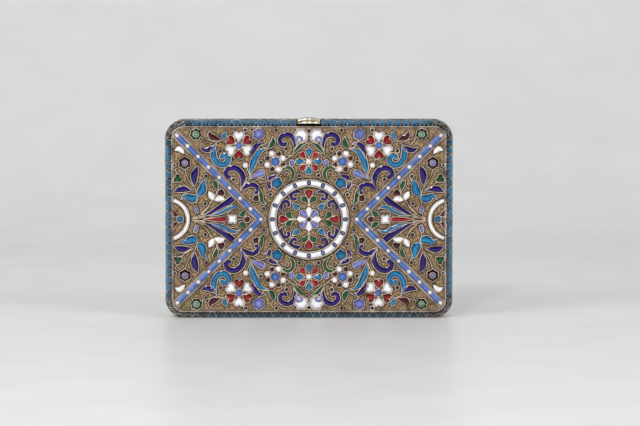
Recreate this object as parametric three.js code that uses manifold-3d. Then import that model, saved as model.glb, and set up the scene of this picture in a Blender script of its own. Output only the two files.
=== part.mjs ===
// Cigarette case in silver gilt with cloisonne enamel, standing on its hinge edge.
// Millimetres, +Z up, +X along the case, the front face looks along -Y.
// The origin is the middle of the underside, on the joint between the two halves.
import * as THREE from "three";
import { mergeVertices } from "three/addons/utils/BufferGeometryUtils.js";
import Module from "manifold-3d";

const wasm = await Module();
wasm.setup();

// Driving dimensions of the box
const CASE_LENGTH = 110;
const CASE_HEIGHT = 76;
const CASE_THICKNESS = 17;
const CORNER_RADIUS = 7;
const EDGE_INSET = 2.5; // how far the rounded edge reaches in over the face
const EDGE_DEPTH = 3.6; // how far it reaches back along the side
const WALL = 0.9;
const JOINT_GAP = 0.3; // between the rims of the two halves

// The hinge along the underside
const BARREL_RADIUS = 1.2;
const PIN_RADIUS = 0.55;
const PIN_CLEARANCE = 0.1;
const BARREL_FLOOR_CLEARANCE = 0.1; // keeps the barrel off whatever the case stands on
const BEARER_CLEARANCE = 0.3; // between the barrel and the channel that it lies in
const BEARER_WALL = 0.9;
const CHANNEL_HALF_WIDTH = 2.4; // where the flat underside starts, each side of the joint
const KNUCKLES = 5;
const KNUCKLE_GAP = 0.3;
const BARREL_END_MARGIN = 0.6; // from the barrel's end to where the corner starts to rise

// The lip inside the rim of the back half, which steers the lid as it shuts
const LIP_THICKNESS = 0.6;
const LIP_REACH = 1.3;
const LIP_CLEARANCE = 0.3;
const LIP_ROOT = 2.4; // how deep its collar sits behind the joint
const LIP_FOOT_HEIGHT = 8; // the lip stops here, above the hinge

// The thumb-piece in the lid's top edge: two bowed tiers with a groove between them
const THUMB_WIDTH = 8.8;
const THUMB_LOBES = 4;
const THUMB_LOBE_DEPTH = 0.3;
const THUMB_RISE = 1.1; // above the case's top, at the middle
const THUMB_BOW = 0.55; // how much lower its ends are
const THUMB_STEP = 0.6; // in front of the face
const THUMB_TIER_HEIGHT = 1.1;
const THUMB_GROOVE = 0.35;
const THUMB_SIDE_GAP = 0.4;
const THUMB_FOOT_GAP = 0.3; // left under its foot when it is pressed
const THUMB_TRAVEL = 0.6;
const THUMB_FLANGE_MARGIN = 1.4; // how far the flange that keeps it in the lid reaches past it
const THUMB_FLANGE_THICKNESS = 0.8;
const THUMB_SEAT_GAP = 0.3; // between the flange and the wall that it hangs under
const THUMB_LIP_GAP = 0.4; // between the flange and the back half's lip
const THUMB_APRON_DEPTH = 1.8; // how far the shelf under the notch reaches in from the lid's wall

// The raised ornament on the faces
const FRAME_WIDTH = 0.5;
const FRAME_RISE = 0.35;
const RING_OUTER = 15.3;
const RING_WIDTH = 2.7;
const RING_RISE = 0.5;
const SIDE_RING_OUTER = 8.4;
const SIDE_RING_WIDTH = 1.7;
const SIDE_RING_OFFSET = 1.4; // its centre lies this far outside the panel
const BAND_WIDTH = 3.3;
const BAND_RISE = 0.4;
const BAND_ANGLE = 45;
const BAND_RING_GAP = 0.7; // between the band's point and the ring
const BEAD_RADIUS = 0.75;
const BEAD_RISE = 0.45;
const BEAD_PITCH = 5.68;
const BACK_BEAD_PITCH = 22.72; // the back has beads only at the points, the middles and the ends
const ORNAMENT_ROOT = 0.2; // how deep the ornament's solids are sunk into the wall

// How finely round shapes are faceted
const CORNER_STEPS = 7;
const EDGE_STEPS = 5;
const ROD_SIDES = 16;
const RING_SIDES = 40;
const BEAD_SIDES = 6;
const THUMB_STEPS = 4;

// Places worked out from the sizes above
const FACE = CASE_THICKNESS / 2;
const MID_HEIGHT = CASE_HEIGHT / 2;
const RIM = JOINT_GAP / 2;
const AXIS_HEIGHT = BARREL_RADIUS + BARREL_FLOOR_CLEARANCE;
const BEARER_INNER = BARREL_RADIUS + BEARER_CLEARANCE;
const BEARER_OUTER = BEARER_INNER + BEARER_WALL;
const CHANNEL_ANGLE = Math.atan2(AXIS_HEIGHT, CHANNEL_HALF_WIDTH);
const STRAIGHT_HALF = CASE_LENGTH / 2 - CORNER_RADIUS;
const BARREL_HALF = STRAIGHT_HALF - BARREL_END_MARGIN;
const CHANNEL_HALF =
  STRAIGHT_HALF + Math.sqrt(CORNER_RADIUS ** 2 - (CORNER_RADIUS - AXIS_HEIGHT) ** 2) + BEARER_CLEARANCE;
const KNUCKLE_LENGTH = (2 * BARREL_HALF - (KNUCKLES - 1) * KNUCKLE_GAP) / KNUCKLES;
const PANEL_LENGTH = CASE_LENGTH - 2 * EDGE_INSET;
const PANEL_HEIGHT = CASE_HEIGHT - 2 * EDGE_INSET;
const BAND_HALF_ALONG = BAND_WIDTH / 2 / Math.sin(THREE.MathUtils.degToRad(BAND_ANGLE)); // across it, along X
const BAND_POINT = RING_OUTER + BAND_RING_GAP + BAND_HALF_ALONG;
const THUMB_HALF = THUMB_WIDTH / 2;
const THUMB_BACK = LIP_REACH + THUMB_LIP_GAP; // it stays in front of the back half's lip
const THUMB_FRONT = FACE + THUMB_STEP;
const THUMB_NOTCH_FLOOR = CASE_HEIGHT - EDGE_INSET;
const THUMB_FOOT = THUMB_NOTCH_FLOOR + THUMB_FOOT_GAP + THUMB_TRAVEL;
const THUMB_FLANGE_TOP = CASE_HEIGHT - WALL - THUMB_SEAT_GAP;
const CLEAR_OF_ALL = 2 * CASE_LENGTH; // a cutting block of this size reaches past the whole case

const silverGilt = new THREE.MeshStandardMaterial({ color: 0xb08a4e, metalness: 1, roughness: 0.38 });
const enamelledGilt = new THREE.MeshStandardMaterial({ color: 0x8f8a78, metalness: 0.4, roughness: 0.3 });

/** A closed three.js geometry as a manifold-3d solid. */
function solidOf(geometry) {
  const bare = geometry.clone();
  bare.deleteAttribute("normal");
  bare.deleteAttribute("uv");
  const merged = mergeVertices(bare, 1e-4);
  return new wasm.Manifold(
    new wasm.Mesh({
      numProp: 3,
      vertProperties: merged.attributes.position.array,
      triVerts: new Uint32Array(merged.index.array),
    }),
  );
}

/** A named mesh of a finished solid. */
function meshOf(name, solid, material) {
  const { vertProperties, triVerts } = solid.getMesh();
  const geometry = new THREE.BufferGeometry();
  geometry.setAttribute("position", new THREE.BufferAttribute(vertProperties, 3));
  geometry.setIndex(new THREE.BufferAttribute(triVerts, 1));
  geometry.computeVertexNormals();
  const mesh = new THREE.Mesh(geometry, material);
  mesh.name = name;
  return mesh;
}

/** A block between two corners. */
function block(x0, x1, y0, y1, z0, z1) {
  const box = new THREE.BoxGeometry(x1 - x0, y1 - y0, z1 - z0);
  box.translate((x0 + x1) / 2, (y0 + y1) / 2, (z0 + z1) / 2);
  return solidOf(box);
}

/** The outline of the case, taken in by inset all round. */
function caseOutline(inset) {
  const w = CASE_LENGTH / 2 - inset;
  const low = inset;
  const high = CASE_HEIGHT - inset;
  const r = CORNER_RADIUS - inset;
  const outline = new THREE.Shape();
  outline.moveTo(-w + r, low);
  outline.lineTo(w - r, low);
  outline.absarc(w - r, low + r, r, -Math.PI / 2, 0, false);
  outline.lineTo(w, high - r);
  outline.absarc(w - r, high - r, r, 0, Math.PI / 2, false);
  outline.lineTo(-w + r, high);
  outline.absarc(-w + r, high - r, r, Math.PI / 2, Math.PI, false);
  outline.lineTo(-w, low + r);
  outline.absarc(-w + r, low + r, r, Math.PI, 1.5 * Math.PI, false);
  return outline;
}

/** A flat outline as a plate between two depths. */
function plate(outline, z0, z1, curveSegments = CORNER_STEPS) {
  const geometry = new THREE.ExtrudeGeometry(outline, { depth: z1 - z0, bevelEnabled: false, curveSegments });
  geometry.translate(0, 0, z0);
  return solidOf(geometry);
}

/** The whole closed case as one cushion-edged solid, taken in by inset on every side. */
function cushion(inset) {
  const straight = CASE_THICKNESS - 2 * inset - 2 * EDGE_DEPTH;
  const geometry = new THREE.ExtrudeGeometry(caseOutline(inset), {
    depth: straight,
    bevelEnabled: true,
    bevelThickness: EDGE_DEPTH,
    bevelSize: EDGE_INSET,
    bevelOffset: -EDGE_INSET,
    bevelSegments: EDGE_STEPS,
    curveSegments: CORNER_STEPS,
  });
  geometry.translate(0, 0, -straight / 2);
  return solidOf(geometry);
}

/** A rod on the hinge's axis, between two places along the case. */
function hingeRod(radius, from, to) {
  const rod = new THREE.CylinderGeometry(radius, radius, to - from, ROD_SIDES);
  rod.rotateZ(Math.PI / 2);
  rod.translate((from + to) / 2, AXIS_HEIGHT, 0);
  return solidOf(rod);
}

/** A section drawn across the case, depth first and height second, run along X between -half and half. */
function alongCase(section, half, curveSegments = CORNER_STEPS) {
  const geometry = new THREE.ExtrudeGeometry(section, {
    depth: 2 * half,
    bevelEnabled: false,
    curveSegments,
  });
  geometry.rotateY(-Math.PI / 2);
  geometry.translate(half, 0, 0);
  return solidOf(geometry);
}

/** The space round the hinge that belongs to one half: past the joint and above the channel's bevel. */
function hingeSector(half) {
  const reach = 2 * BEARER_OUTER;
  const fall = Math.tan(CHANNEL_ANGLE);
  const section = new THREE.Shape();
  section.moveTo(RIM, AXIS_HEIGHT - RIM * fall);
  section.lineTo(reach, AXIS_HEIGHT - reach * fall);
  section.lineTo(reach, AXIS_HEIGHT + reach);
  section.lineTo(RIM, AXIS_HEIGHT + reach);
  section.closePath();
  return alongCase(section, half);
}

/** What is cut away below the hinge so that the underside clears the other half as the case opens. */
function channelWedge() {
  const reach = 2 * CHANNEL_HALF_WIDTH;
  const section = new THREE.Shape();
  section.moveTo(0, AXIS_HEIGHT);
  section.lineTo(0, -reach);
  section.lineTo(reach, -reach);
  section.lineTo(reach, AXIS_HEIGHT - reach * Math.tan(CHANNEL_ANGLE));
  section.closePath();
  return alongCase(section, CHANNEL_HALF);
}

/** The knuckles of one half, counted from 0 at the left; own picks which of them are its own. */
function knuckles(own) {
  const made = [];
  for (let i = 0; i < KNUCKLES; i += 1) {
    if (!own(i)) continue;
    const from = -BARREL_HALF + i * (KNUCKLE_LENGTH + KNUCKLE_GAP);
    const to = from + KNUCKLE_LENGTH;
    const web = hingeRod(BEARER_INNER + BEARER_WALL / 2, from, to).intersect(hingeSector(CHANNEL_HALF));
    made.push(hingeRod(BARREL_RADIUS, from, to).add(web));
  }
  return made;
}

/** One half of the case without its ornament, with its rim on the joint and its face at +Z. */
function halfShell(own) {
  const outer = cushion(0);
  const shell = outer
    .subtract(cushion(WALL))
    .intersect(block(-CLEAR_OF_ALL, CLEAR_OF_ALL, -CLEAR_OF_ALL, CLEAR_OF_ALL, RIM, CLEAR_OF_ALL));
  const bearer = hingeRod(BEARER_OUTER, -CHANNEL_HALF, CHANNEL_HALF)
    .subtract(hingeRod(BEARER_INNER, -CHANNEL_HALF, CHANNEL_HALF))
    .intersect(hingeSector(CHANNEL_HALF))
    .intersect(outer);
  const open = shell
    .subtract(hingeRod(BEARER_INNER, -CHANNEL_HALF, CHANNEL_HALF))
    .subtract(channelWedge())
    .add(bearer);
  const bore = hingeRod(PIN_RADIUS + PIN_CLEARANCE, -CHANNEL_HALF, CHANNEL_HALF);
  return knuckles(own)
    .reduce((half, knuckle) => half.add(knuckle), open)
    .subtract(bore);
}

/** The lip and its collar, on the three sides that the hinge leaves free, in the back half's own frame. */
function innerLip() {
  const ring = (outerInset, innerInset, z0, z1) => {
    const hole = plate(caseOutline(innerInset), -CLEAR_OF_ALL, CLEAR_OF_ALL);
    return plate(caseOutline(outerInset), z0, z1).subtract(hole);
  };
  const face = WALL + LIP_CLEARANCE;
  const lip = ring(face, face + LIP_THICKNESS, -LIP_REACH, LIP_ROOT);
  const collar = ring(WALL - ORNAMENT_ROOT, face + LIP_THICKNESS, RIM + LIP_CLEARANCE, LIP_ROOT);
  const free = block(-CLEAR_OF_ALL, CLEAR_OF_ALL, LIP_FOOT_HEIGHT, CLEAR_OF_ALL, -CLEAR_OF_ALL, CLEAR_OF_ALL);
  return lip.add(collar).intersect(free);
}

/** The flat panel inside the rounded edge, as a plate between two depths. */
function panel(z0, z1) {
  return plate(caseOutline(EDGE_INSET), z0, z1);
}

/** A flat ring on the face, round a centre given across and above the face's middle. */
function faceRing(x, y, outer, width, rise) {
  const outline = new THREE.Shape();
  outline.absarc(x, MID_HEIGHT + y, outer, 0, 2 * Math.PI, false);
  const hole = new THREE.Path();
  hole.absarc(x, MID_HEIGHT + y, outer - width, 0, 2 * Math.PI, true);
  outline.holes.push(hole);
  return plate(outline, FACE - ORNAMENT_ROOT, FACE + rise, RING_SIDES);
}

/** A band in two arms that meet at a point beside the ring; side is -1 on the left and 1 on the right. */
function chevron(side) {
  const angle = THREE.MathUtils.degToRad(BAND_ANGLE);
  const reach = PANEL_LENGTH;
  const dx = side * reach * Math.cos(angle);
  const dy = reach * Math.sin(angle);
  const near = side * (BAND_POINT - BAND_HALF_ALONG);
  const far = side * (BAND_POINT + BAND_HALF_ALONG);
  const outline = new THREE.Shape();
  outline.moveTo(near, MID_HEIGHT);
  outline.lineTo(near + dx, MID_HEIGHT + dy);
  outline.lineTo(far + dx, MID_HEIGHT + dy);
  outline.lineTo(far, MID_HEIGHT);
  outline.lineTo(far + dx, MID_HEIGHT - dy);
  outline.lineTo(near + dx, MID_HEIGHT - dy);
  outline.closePath();
  return plate(outline, FACE - ORNAMENT_ROOT, FACE + BAND_RISE);
}

/** A low enamel bead standing on a band. */
function bead(x, y) {
  const top = BAND_RISE + BEAD_RISE;
  const profile = [
    new THREE.Vector2(0, -ORNAMENT_ROOT),
    new THREE.Vector2(BEAD_RADIUS, -ORNAMENT_ROOT),
    new THREE.Vector2(BEAD_RADIUS, BAND_RISE),
    new THREE.Vector2(BEAD_RADIUS * Math.SQRT1_2, BAND_RISE + BEAD_RISE * Math.SQRT1_2),
    new THREE.Vector2(0, top),
  ];
  const dome = new THREE.LatheGeometry(profile, BEAD_SIDES);
  dome.rotateX(Math.PI / 2);
  dome.translate(x, MID_HEIGHT + y, FACE);
  return solidOf(dome);
}

/** The beads of one band: one at its point, and the rest up and down its arms. */
function beads(side, pitch) {
  const angle = THREE.MathUtils.degToRad(BAND_ANGLE);
  const reachUp = PANEL_HEIGHT / 2 - BEAD_RADIUS - FRAME_WIDTH;
  const made = [bead(side * BAND_POINT, 0)];
  for (let along = pitch; along * Math.sin(angle) < reachUp; along += pitch) {
    const x = side * (BAND_POINT + along * Math.cos(angle));
    made.push(bead(x, along * Math.sin(angle)), bead(x, -along * Math.sin(angle)));
  }
  return made;
}

/** The raised ornament of one face: frame, bands, middle ring and the two part rings at the ends. */
function ornament(beadPitch) {
  const root = FACE - ORNAMENT_ROOT;
  const inner = plate(caseOutline(EDGE_INSET + FRAME_WIDTH), -CLEAR_OF_ALL, CLEAR_OF_ALL);
  const frame = panel(root, FACE + FRAME_RISE).subtract(inner);
  const sideX = PANEL_LENGTH / 2 + SIDE_RING_OFFSET;
  const sideRings = [-1, 1].map((side) =>
    faceRing(side * sideX, 0, SIDE_RING_OUTER, SIDE_RING_WIDTH, RING_RISE),
  );
  const bands = [-1, 1].map((side) => chevron(side));
  const studs = [-1, 1].flatMap((side) => beads(side, beadPitch));
  const inside = panel(-CLEAR_OF_ALL, CLEAR_OF_ALL);
  return [...sideRings, ...bands, ...studs]
    .reduce((all, piece) => all.add(piece), faceRing(0, 0, RING_OUTER, RING_WIDTH, RING_RISE))
    .intersect(inside)
    .add(frame);
}

/** The thumb-piece seen from the end: an upper tier, a groove, and a lower tier down to the foot. */
function thumbSection() {
  const top = CASE_HEIGHT + THUMB_RISE;
  const grooveTop = top - THUMB_TIER_HEIGHT;
  const grooveFoot = grooveTop - THUMB_GROOVE;
  const shoulder = THUMB_FRONT - THUMB_STEP;
  const section = new THREE.Shape();
  section.moveTo(THUMB_BACK, THUMB_FLANGE_TOP - THUMB_FLANGE_THICKNESS);
  section.lineTo(FACE - EDGE_DEPTH, THUMB_FLANGE_TOP - THUMB_FLANGE_THICKNESS);
  section.lineTo(FACE - WALL, THUMB_FOOT);
  section.lineTo(shoulder, THUMB_FOOT);
  section.quadraticCurveTo(THUMB_FRONT + THUMB_STEP, (THUMB_FOOT + grooveFoot) / 2, shoulder, grooveFoot);
  section.lineTo(shoulder - THUMB_GROOVE, (grooveTop + grooveFoot) / 2);
  section.lineTo(shoulder, grooveTop);
  section.quadraticCurveTo(shoulder, top, FACE - EDGE_DEPTH, top);
  section.lineTo(THUMB_BACK, top);
  section.closePath();
  return section;
}

/** The thumb-piece seen from above, with a scalloped front. */
function thumbPlan() {
  const lobe = THUMB_WIDTH / THUMB_LOBES;
  const valley = THUMB_FRONT - THUMB_LOBE_DEPTH;
  const plan = new THREE.Shape();
  plan.moveTo(-THUMB_HALF, 0);
  plan.lineTo(THUMB_HALF, 0);
  plan.lineTo(THUMB_HALF, valley);
  for (let i = THUMB_LOBES; i > 0; i -= 1) {
    const from = -THUMB_HALF + i * lobe;
    plan.quadraticCurveTo(from - lobe / 2, THUMB_FRONT + THUMB_LOBE_DEPTH, from - lobe, valley);
  }
  plan.closePath();
  return plan;
}

/** The thumb-piece seen from in front, with a bowed top. */
function thumbElevation() {
  const top = CASE_HEIGHT + THUMB_RISE;
  const elevation = new THREE.Shape();
  elevation.moveTo(-THUMB_HALF, 0);
  elevation.lineTo(THUMB_HALF, 0);
  elevation.lineTo(THUMB_HALF, top - THUMB_BOW);
  elevation.quadraticCurveTo(0, top + THUMB_BOW, -THUMB_HALF, top - THUMB_BOW);
  elevation.closePath();
  return elevation;
}

/** The thumb-piece with the flange that keeps it in the lid. */
function thumbPiece() {
  const reach = 2 * FACE;
  const fromAbove = new THREE.ExtrudeGeometry(thumbPlan(), {
    depth: CLEAR_OF_ALL,
    bevelEnabled: false,
    curveSegments: THUMB_STEPS,
  });
  fromAbove.rotateX(Math.PI / 2);
  fromAbove.translate(0, CLEAR_OF_ALL, 0);
  const tiers = alongCase(thumbSection(), THUMB_HALF, THUMB_STEPS)
    .intersect(solidOf(fromAbove))
    .intersect(plate(thumbElevation(), 0, reach, 2 * THUMB_STEPS));
  const flangeHalf = THUMB_HALF + THUMB_FLANGE_MARGIN;
  const flangeFoot = THUMB_FLANGE_TOP - THUMB_FLANGE_THICKNESS;
  const flange = block(
    -flangeHalf,
    flangeHalf,
    flangeFoot,
    THUMB_FLANGE_TOP,
    THUMB_BACK,
    FACE - EDGE_DEPTH,
  );
  return tiers.add(flange);
}

/** The notch in the lid that the thumb-piece works in. */
function thumbNotch() {
  const half = THUMB_HALF + THUMB_SIDE_GAP;
  return block(-half, half, THUMB_NOTCH_FLOOR, CLEAR_OF_ALL, THUMB_BACK - THUMB_SIDE_GAP, CLEAR_OF_ALL);
}

/** The shelf behind the lid's wall that closes the notch below. */
function thumbApron() {
  const half = THUMB_HALF + THUMB_SIDE_GAP + THUMB_FLANGE_MARGIN;
  const wallInside = FACE - WALL;
  return block(
    -half,
    half,
    THUMB_NOTCH_FLOOR - WALL,
    THUMB_NOTCH_FLOOR,
    wallInside - THUMB_APRON_DEPTH,
    wallInside + ORNAMENT_ROOT,
  );
}

const isOdd = (i) => i % 2 === 1;
const isEven = (i) => i % 2 === 0;

const lidSolid = halfShell(isOdd).add(ornament(BEAD_PITCH)).subtract(thumbNotch()).add(thumbApron());
const lid = meshOf("lid", lidSolid, enamelledGilt);

const backSolid = halfShell(isEven).add(innerLip()).add(ornament(BACK_BEAD_PITCH));
const backHalf = meshOf("back_half", backSolid, enamelledGilt);
backHalf.rotation.y = Math.PI;

const hingePin = meshOf("hinge_pin", hingeRod(PIN_RADIUS, -BARREL_HALF, BARREL_HALF), silverGilt);
const thumb = meshOf("thumb_piece", thumbPiece(), silverGilt);

const cigaretteCase = new THREE.Group();
cigaretteCase.rotation.x = Math.PI / 2;
cigaretteCase.add(backHalf, lid, hingePin, thumb);

export default cigaretteCase;
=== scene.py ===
"""Looks of a cloisonne cigarette case: enamelled faces and edges, gilt inside, hinge and thumb-piece."""
import logging
import math
import random
from dataclasses import dataclass, field, replace
from enum import Enum
from typing import Any, Callable, Sequence

import bmesh
import bpy
from mathutils import Matrix, Vector

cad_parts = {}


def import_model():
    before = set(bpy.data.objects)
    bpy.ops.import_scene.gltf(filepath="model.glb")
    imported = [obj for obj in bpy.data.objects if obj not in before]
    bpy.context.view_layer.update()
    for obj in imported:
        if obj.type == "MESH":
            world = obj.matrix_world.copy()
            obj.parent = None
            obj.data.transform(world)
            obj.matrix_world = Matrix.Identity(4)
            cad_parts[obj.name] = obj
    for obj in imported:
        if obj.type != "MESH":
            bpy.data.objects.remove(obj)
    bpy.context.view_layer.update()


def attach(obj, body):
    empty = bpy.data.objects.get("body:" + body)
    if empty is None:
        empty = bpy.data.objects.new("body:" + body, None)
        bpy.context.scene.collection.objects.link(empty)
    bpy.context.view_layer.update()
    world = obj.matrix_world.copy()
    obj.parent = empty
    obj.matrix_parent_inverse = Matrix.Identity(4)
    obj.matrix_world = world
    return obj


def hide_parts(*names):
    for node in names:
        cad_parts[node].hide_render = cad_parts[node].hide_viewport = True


LOG = logging.getLogger("cigarette_case")

MM = 0.001
FULL_TURN = 2 * math.pi
Point = tuple[float, float]
Line = Sequence[Point]
Colour = tuple[float, float, float, float]


class Half(Enum):
    """The two halves of the case, by the body that each one is."""

    FRONT = "lid"
    BACK = "back"

    @property
    def way(self) -> int:
        """Which way along Y the half's face looks."""
        return -1 if self is Half.FRONT else 1

    @property
    def node(self) -> str:
        """The CAD node of the half's shell."""
        return "lid" if self is Half.FRONT else "back_half"

    @property
    def label(self) -> str:
        """What the names of the half's pieces start with."""
        return self.name.lower()

    @property
    def slot(self) -> str:
        """The record's material slot of the half."""
        return "lid_gilt" if self is Half.FRONT else "back_gilt"


class Enamel(Enum):
    """The enamel colours on the case."""

    WHITE = "white"
    RED = "red"
    MAROON = "maroon"
    COBALT = "cobalt"
    TURQUOISE = "turquoise"
    LAVENDER = "lavender"
    CORNFLOWER = "cornflower"
    GREEN = "green"
    PALE_GREEN = "pale_green"
    AUBERGINE = "aubergine"
    NAVY = "navy"
    TRELLIS = "trellis_blue"
    # The darker trellis blue: painted shade along the bottom of the edge.
    DUSK = "trellis_dusk_and_shade"
    SMOKE = "smoke"
    SLATE = "slate"


@dataclass(frozen=True)
class CaseSizes:
    """Sizes of the case in millimetres, all on the closed case."""

    length: float = 110.0
    height: float = 76.0
    half_thickness: float = 8.5
    corner_radius: float = 7.0
    edge_inset: float = 2.5
    edge_depth: float = 3.6
    wall: float = 0.9
    rim: float = 0.15
    hinge_height: float = 1.3
    barrel_radius: float = 1.2
    pin_radius: float = 0.55
    bearer_inner: float = 1.5
    bearer_outer: float = 2.4
    channel_half_width: float = 2.4
    knuckles: int = 5
    knuckle_gap: float = 0.3
    barrel_end_margin: float = 0.6
    channel_end_margin: float = 0.3

    @property
    def straight_half(self) -> float:
        """Half of the straight run along the top and the bottom."""
        return self.length / 2 - self.corner_radius

    @property
    def straight_rise(self) -> float:
        """The straight run up each side."""
        return self.height - 2 * self.corner_radius

    @property
    def barrel_half(self) -> float:
        """Half of the hinge barrel's length."""
        return self.straight_half - self.barrel_end_margin

    @property
    def channel_half(self) -> float:
        """Half of the length of the channel that the barrel lies in."""
        drop = self.corner_radius - self.hinge_height
        return self.straight_half + math.sqrt(self.corner_radius**2 - drop**2) + self.channel_end_margin


CASE = CaseSizes()


def tone(red: int, green: int, blue: int) -> Colour:
    """A colour given as it looks on a screen, as Blender's linear one.

    Args:
        red: Its red, from 0 to 255.
        green: Its green, from 0 to 255.
        blue: Its blue, from 0 to 255.

    Returns:
        The linear colour.
    """

    def linear(value: float) -> float:
        """One channel made linear."""
        share = value / 255
        return share / 12.92 if share <= 0.04045 else ((share + 0.055) / 1.055) ** 2.4

    return (linear(red), linear(green), linear(blue), 1.0)


def grey(value: int) -> Colour:
    """A grey given as it looks on a screen, from 0 to 255."""
    return tone(value, value, value)


WHOLE = grey(255)
# The enamel darkens towards each cell's border with this value, as deeper enamel at the wires and as painted
# shade.
POOL_AND_SHADE = "pool_and_shade"  # the value that says how far a point is from its cell's border


class NodeBench:
    """A material's node tree with short ways to add and join its nodes."""

    def __init__(self, name: str) -> None:
        """Start a material that holds one Principled shader.

        Args:
            name: The material's name.
        """
        self.material = bpy.data.materials.new(name)
        self.material.use_nodes = True
        self.nodes = self.material.node_tree.nodes
        self.links = self.material.node_tree.links
        self.shader = self.nodes["Principled BSDF"]
        self.place = self.nodes.new("ShaderNodeTexCoord").outputs["Object"]

    def set(self, **values: Any) -> None:
        """Set the shader's own sockets; an underscore in a name stands for a space."""
        for name, value in values.items():
            self.shader.inputs[name.replace("_", " ")].default_value = value

    def noise(self, scale: float, detail: float = 2.0, roughness: float = 0.5) -> Any:
        """Cloudy noise.

        Args:
            scale: Features for each metre.
            detail: How many finer layers it has.
            roughness: How strong the finer layers are.

        Returns:
            The noise's value socket.
        """
        node = self.nodes.new("ShaderNodeTexNoise")
        node.inputs["Scale"].default_value = scale
        node.inputs["Detail"].default_value = detail
        node.inputs["Roughness"].default_value = roughness
        self.links.new(self.place, node.inputs["Vector"])
        return node.outputs["Fac"]

    def carried(self, name: str) -> Any:
        """A value that a piece's own points carry.

        Args:
            name: The name that they carry it under.

        Returns:
            The value's socket.
        """
        node = self.nodes.new("ShaderNodeAttribute")
        node.attribute_name = name
        return node.outputs["Fac"]

    def pits(self, scale: float) -> Any:
        """Round pits side by side.

        Args:
            scale: Pits for each metre.

        Returns:
            The socket of the distance from the middle of the nearest of the pits.
        """
        node = self.nodes.new("ShaderNodeTexVoronoi")
        node.inputs["Scale"].default_value = scale
        self.links.new(self.place, node.inputs["Vector"])
        return node.outputs["Distance"]

    def ramp(self, value: Any, stops: Sequence[tuple[float, tuple]]) -> Any:
        """A run of colours along a value.

        Args:
            value: The socket that picks the colour.
            stops: Places from 0 to 1, each with its colour.

        Returns:
            The colour socket.
        """
        node = self.nodes.new("ShaderNodeValToRGB")
        elements = node.color_ramp.elements
        while len(elements) < len(stops):
            elements.new(0.5)
        for element, (place, colour) in zip(elements, stops):
            element.position = place
            element.color = colour
        self.links.new(value, node.inputs["Fac"])
        return node.outputs["Color"]

    def blend(self, mode: str, share: float, first: Any, second: Any) -> Any:
        """Two colours laid over each other.

        Args:
            mode: Blender's name for the way they mix.
            share: How much the second one counts.
            first: The lower colour's socket.
            second: The upper colour's socket.

        Returns:
            The colour socket.
        """
        node = self.nodes.new("ShaderNodeMix")
        node.data_type = "RGBA"
        node.blend_type = mode
        node.inputs["Factor"].default_value = share
        self.links.new(first, node.inputs["A"])
        self.links.new(second, node.inputs["B"])
        return node.outputs["Result"]

    def bump(self, height: Any, depth: float) -> Any:
        """A bump in the surface.

        Args:
            height: The socket that says how high it stands.
            depth: How deep it is, in metres.

        Returns:
            The normal's socket.
        """
        node = self.nodes.new("ShaderNodeBump")
        node.inputs["Distance"].default_value = depth
        self.links.new(height, node.inputs["Height"])
        return node.outputs["Normal"]

    def join(self, socket: Any, name: str) -> None:
        """Lead a socket to one of the shader's."""
        self.links.new(socket, self.shader.inputs[name])


@dataclass(frozen=True)
class EnamelFinish:
    """Fired glass: a glossy colour that darkens towards each cell's border, partly as deeper enamel at the
    wires and partly as painted shade, with a slight waviness.
    """

    name: str
    light: Colour
    deep: Colour
    cloud: float = 620.0
    roughness: float = 0.12
    ripple: float = 900.0
    wave: float = 0.00003
    edge_from: float = 0.2
    edge_to: float = 0.95
    evenness: int = 190

    def material(self) -> bpy.types.Material:
        """Build the finish's material."""
        bench = NodeBench(f"enamel_{self.name}")
        # The deep tone at the border and the light one in the middle: deeper enamel at the wires, and
        # painted shade.
        pooled_and_shaded = bench.ramp(bench.carried(POOL_AND_SHADE), [(self.edge_from, self.deep), (self.edge_to, self.light)])
        cloud = bench.ramp(bench.noise(self.cloud, 3.0, 0.6), [(0.3, grey(self.evenness)), (0.62, WHOLE)])
        bench.join(bench.blend("MULTIPLY", 1.0, pooled_and_shaded, cloud), "Base Color")
        bench.join(bench.bump(bench.noise(self.ripple), self.wave), "Normal")
        bench.set(Roughness=self.roughness, Coat_Weight=0.35, Coat_Roughness=0.04, IOR=1.4)
        return bench.material


@dataclass(frozen=True)
class GiltFinish:
    """Gilded silver, with its gold worn or darkened in clouds and a grain struck or rubbed into it."""

    name: str
    bright: Colour
    dull: Colour
    dark: Colour
    metallic: float = 1.0
    roughness: float = 0.34
    cloud: float = 260.0
    grain: float = 2200.0
    grain_depth: float = 0.00004

    def material(self) -> bpy.types.Material:
        """Build the finish's material."""
        bench = NodeBench(f"gilt_{self.name}")
        cloud = bench.noise(self.cloud, 4.0, 0.62)
        colour = bench.ramp(cloud, [(0.32, self.dark), (0.48, self.dull), (0.66, self.bright)])
        bench.join(bench.bump(bench.noise(self.grain, 3.0), self.grain_depth), "Normal")
        bench.join(colour, "Base Color")
        bench.set(Metallic=self.metallic, Roughness=self.roughness)
        return bench.material


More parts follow.
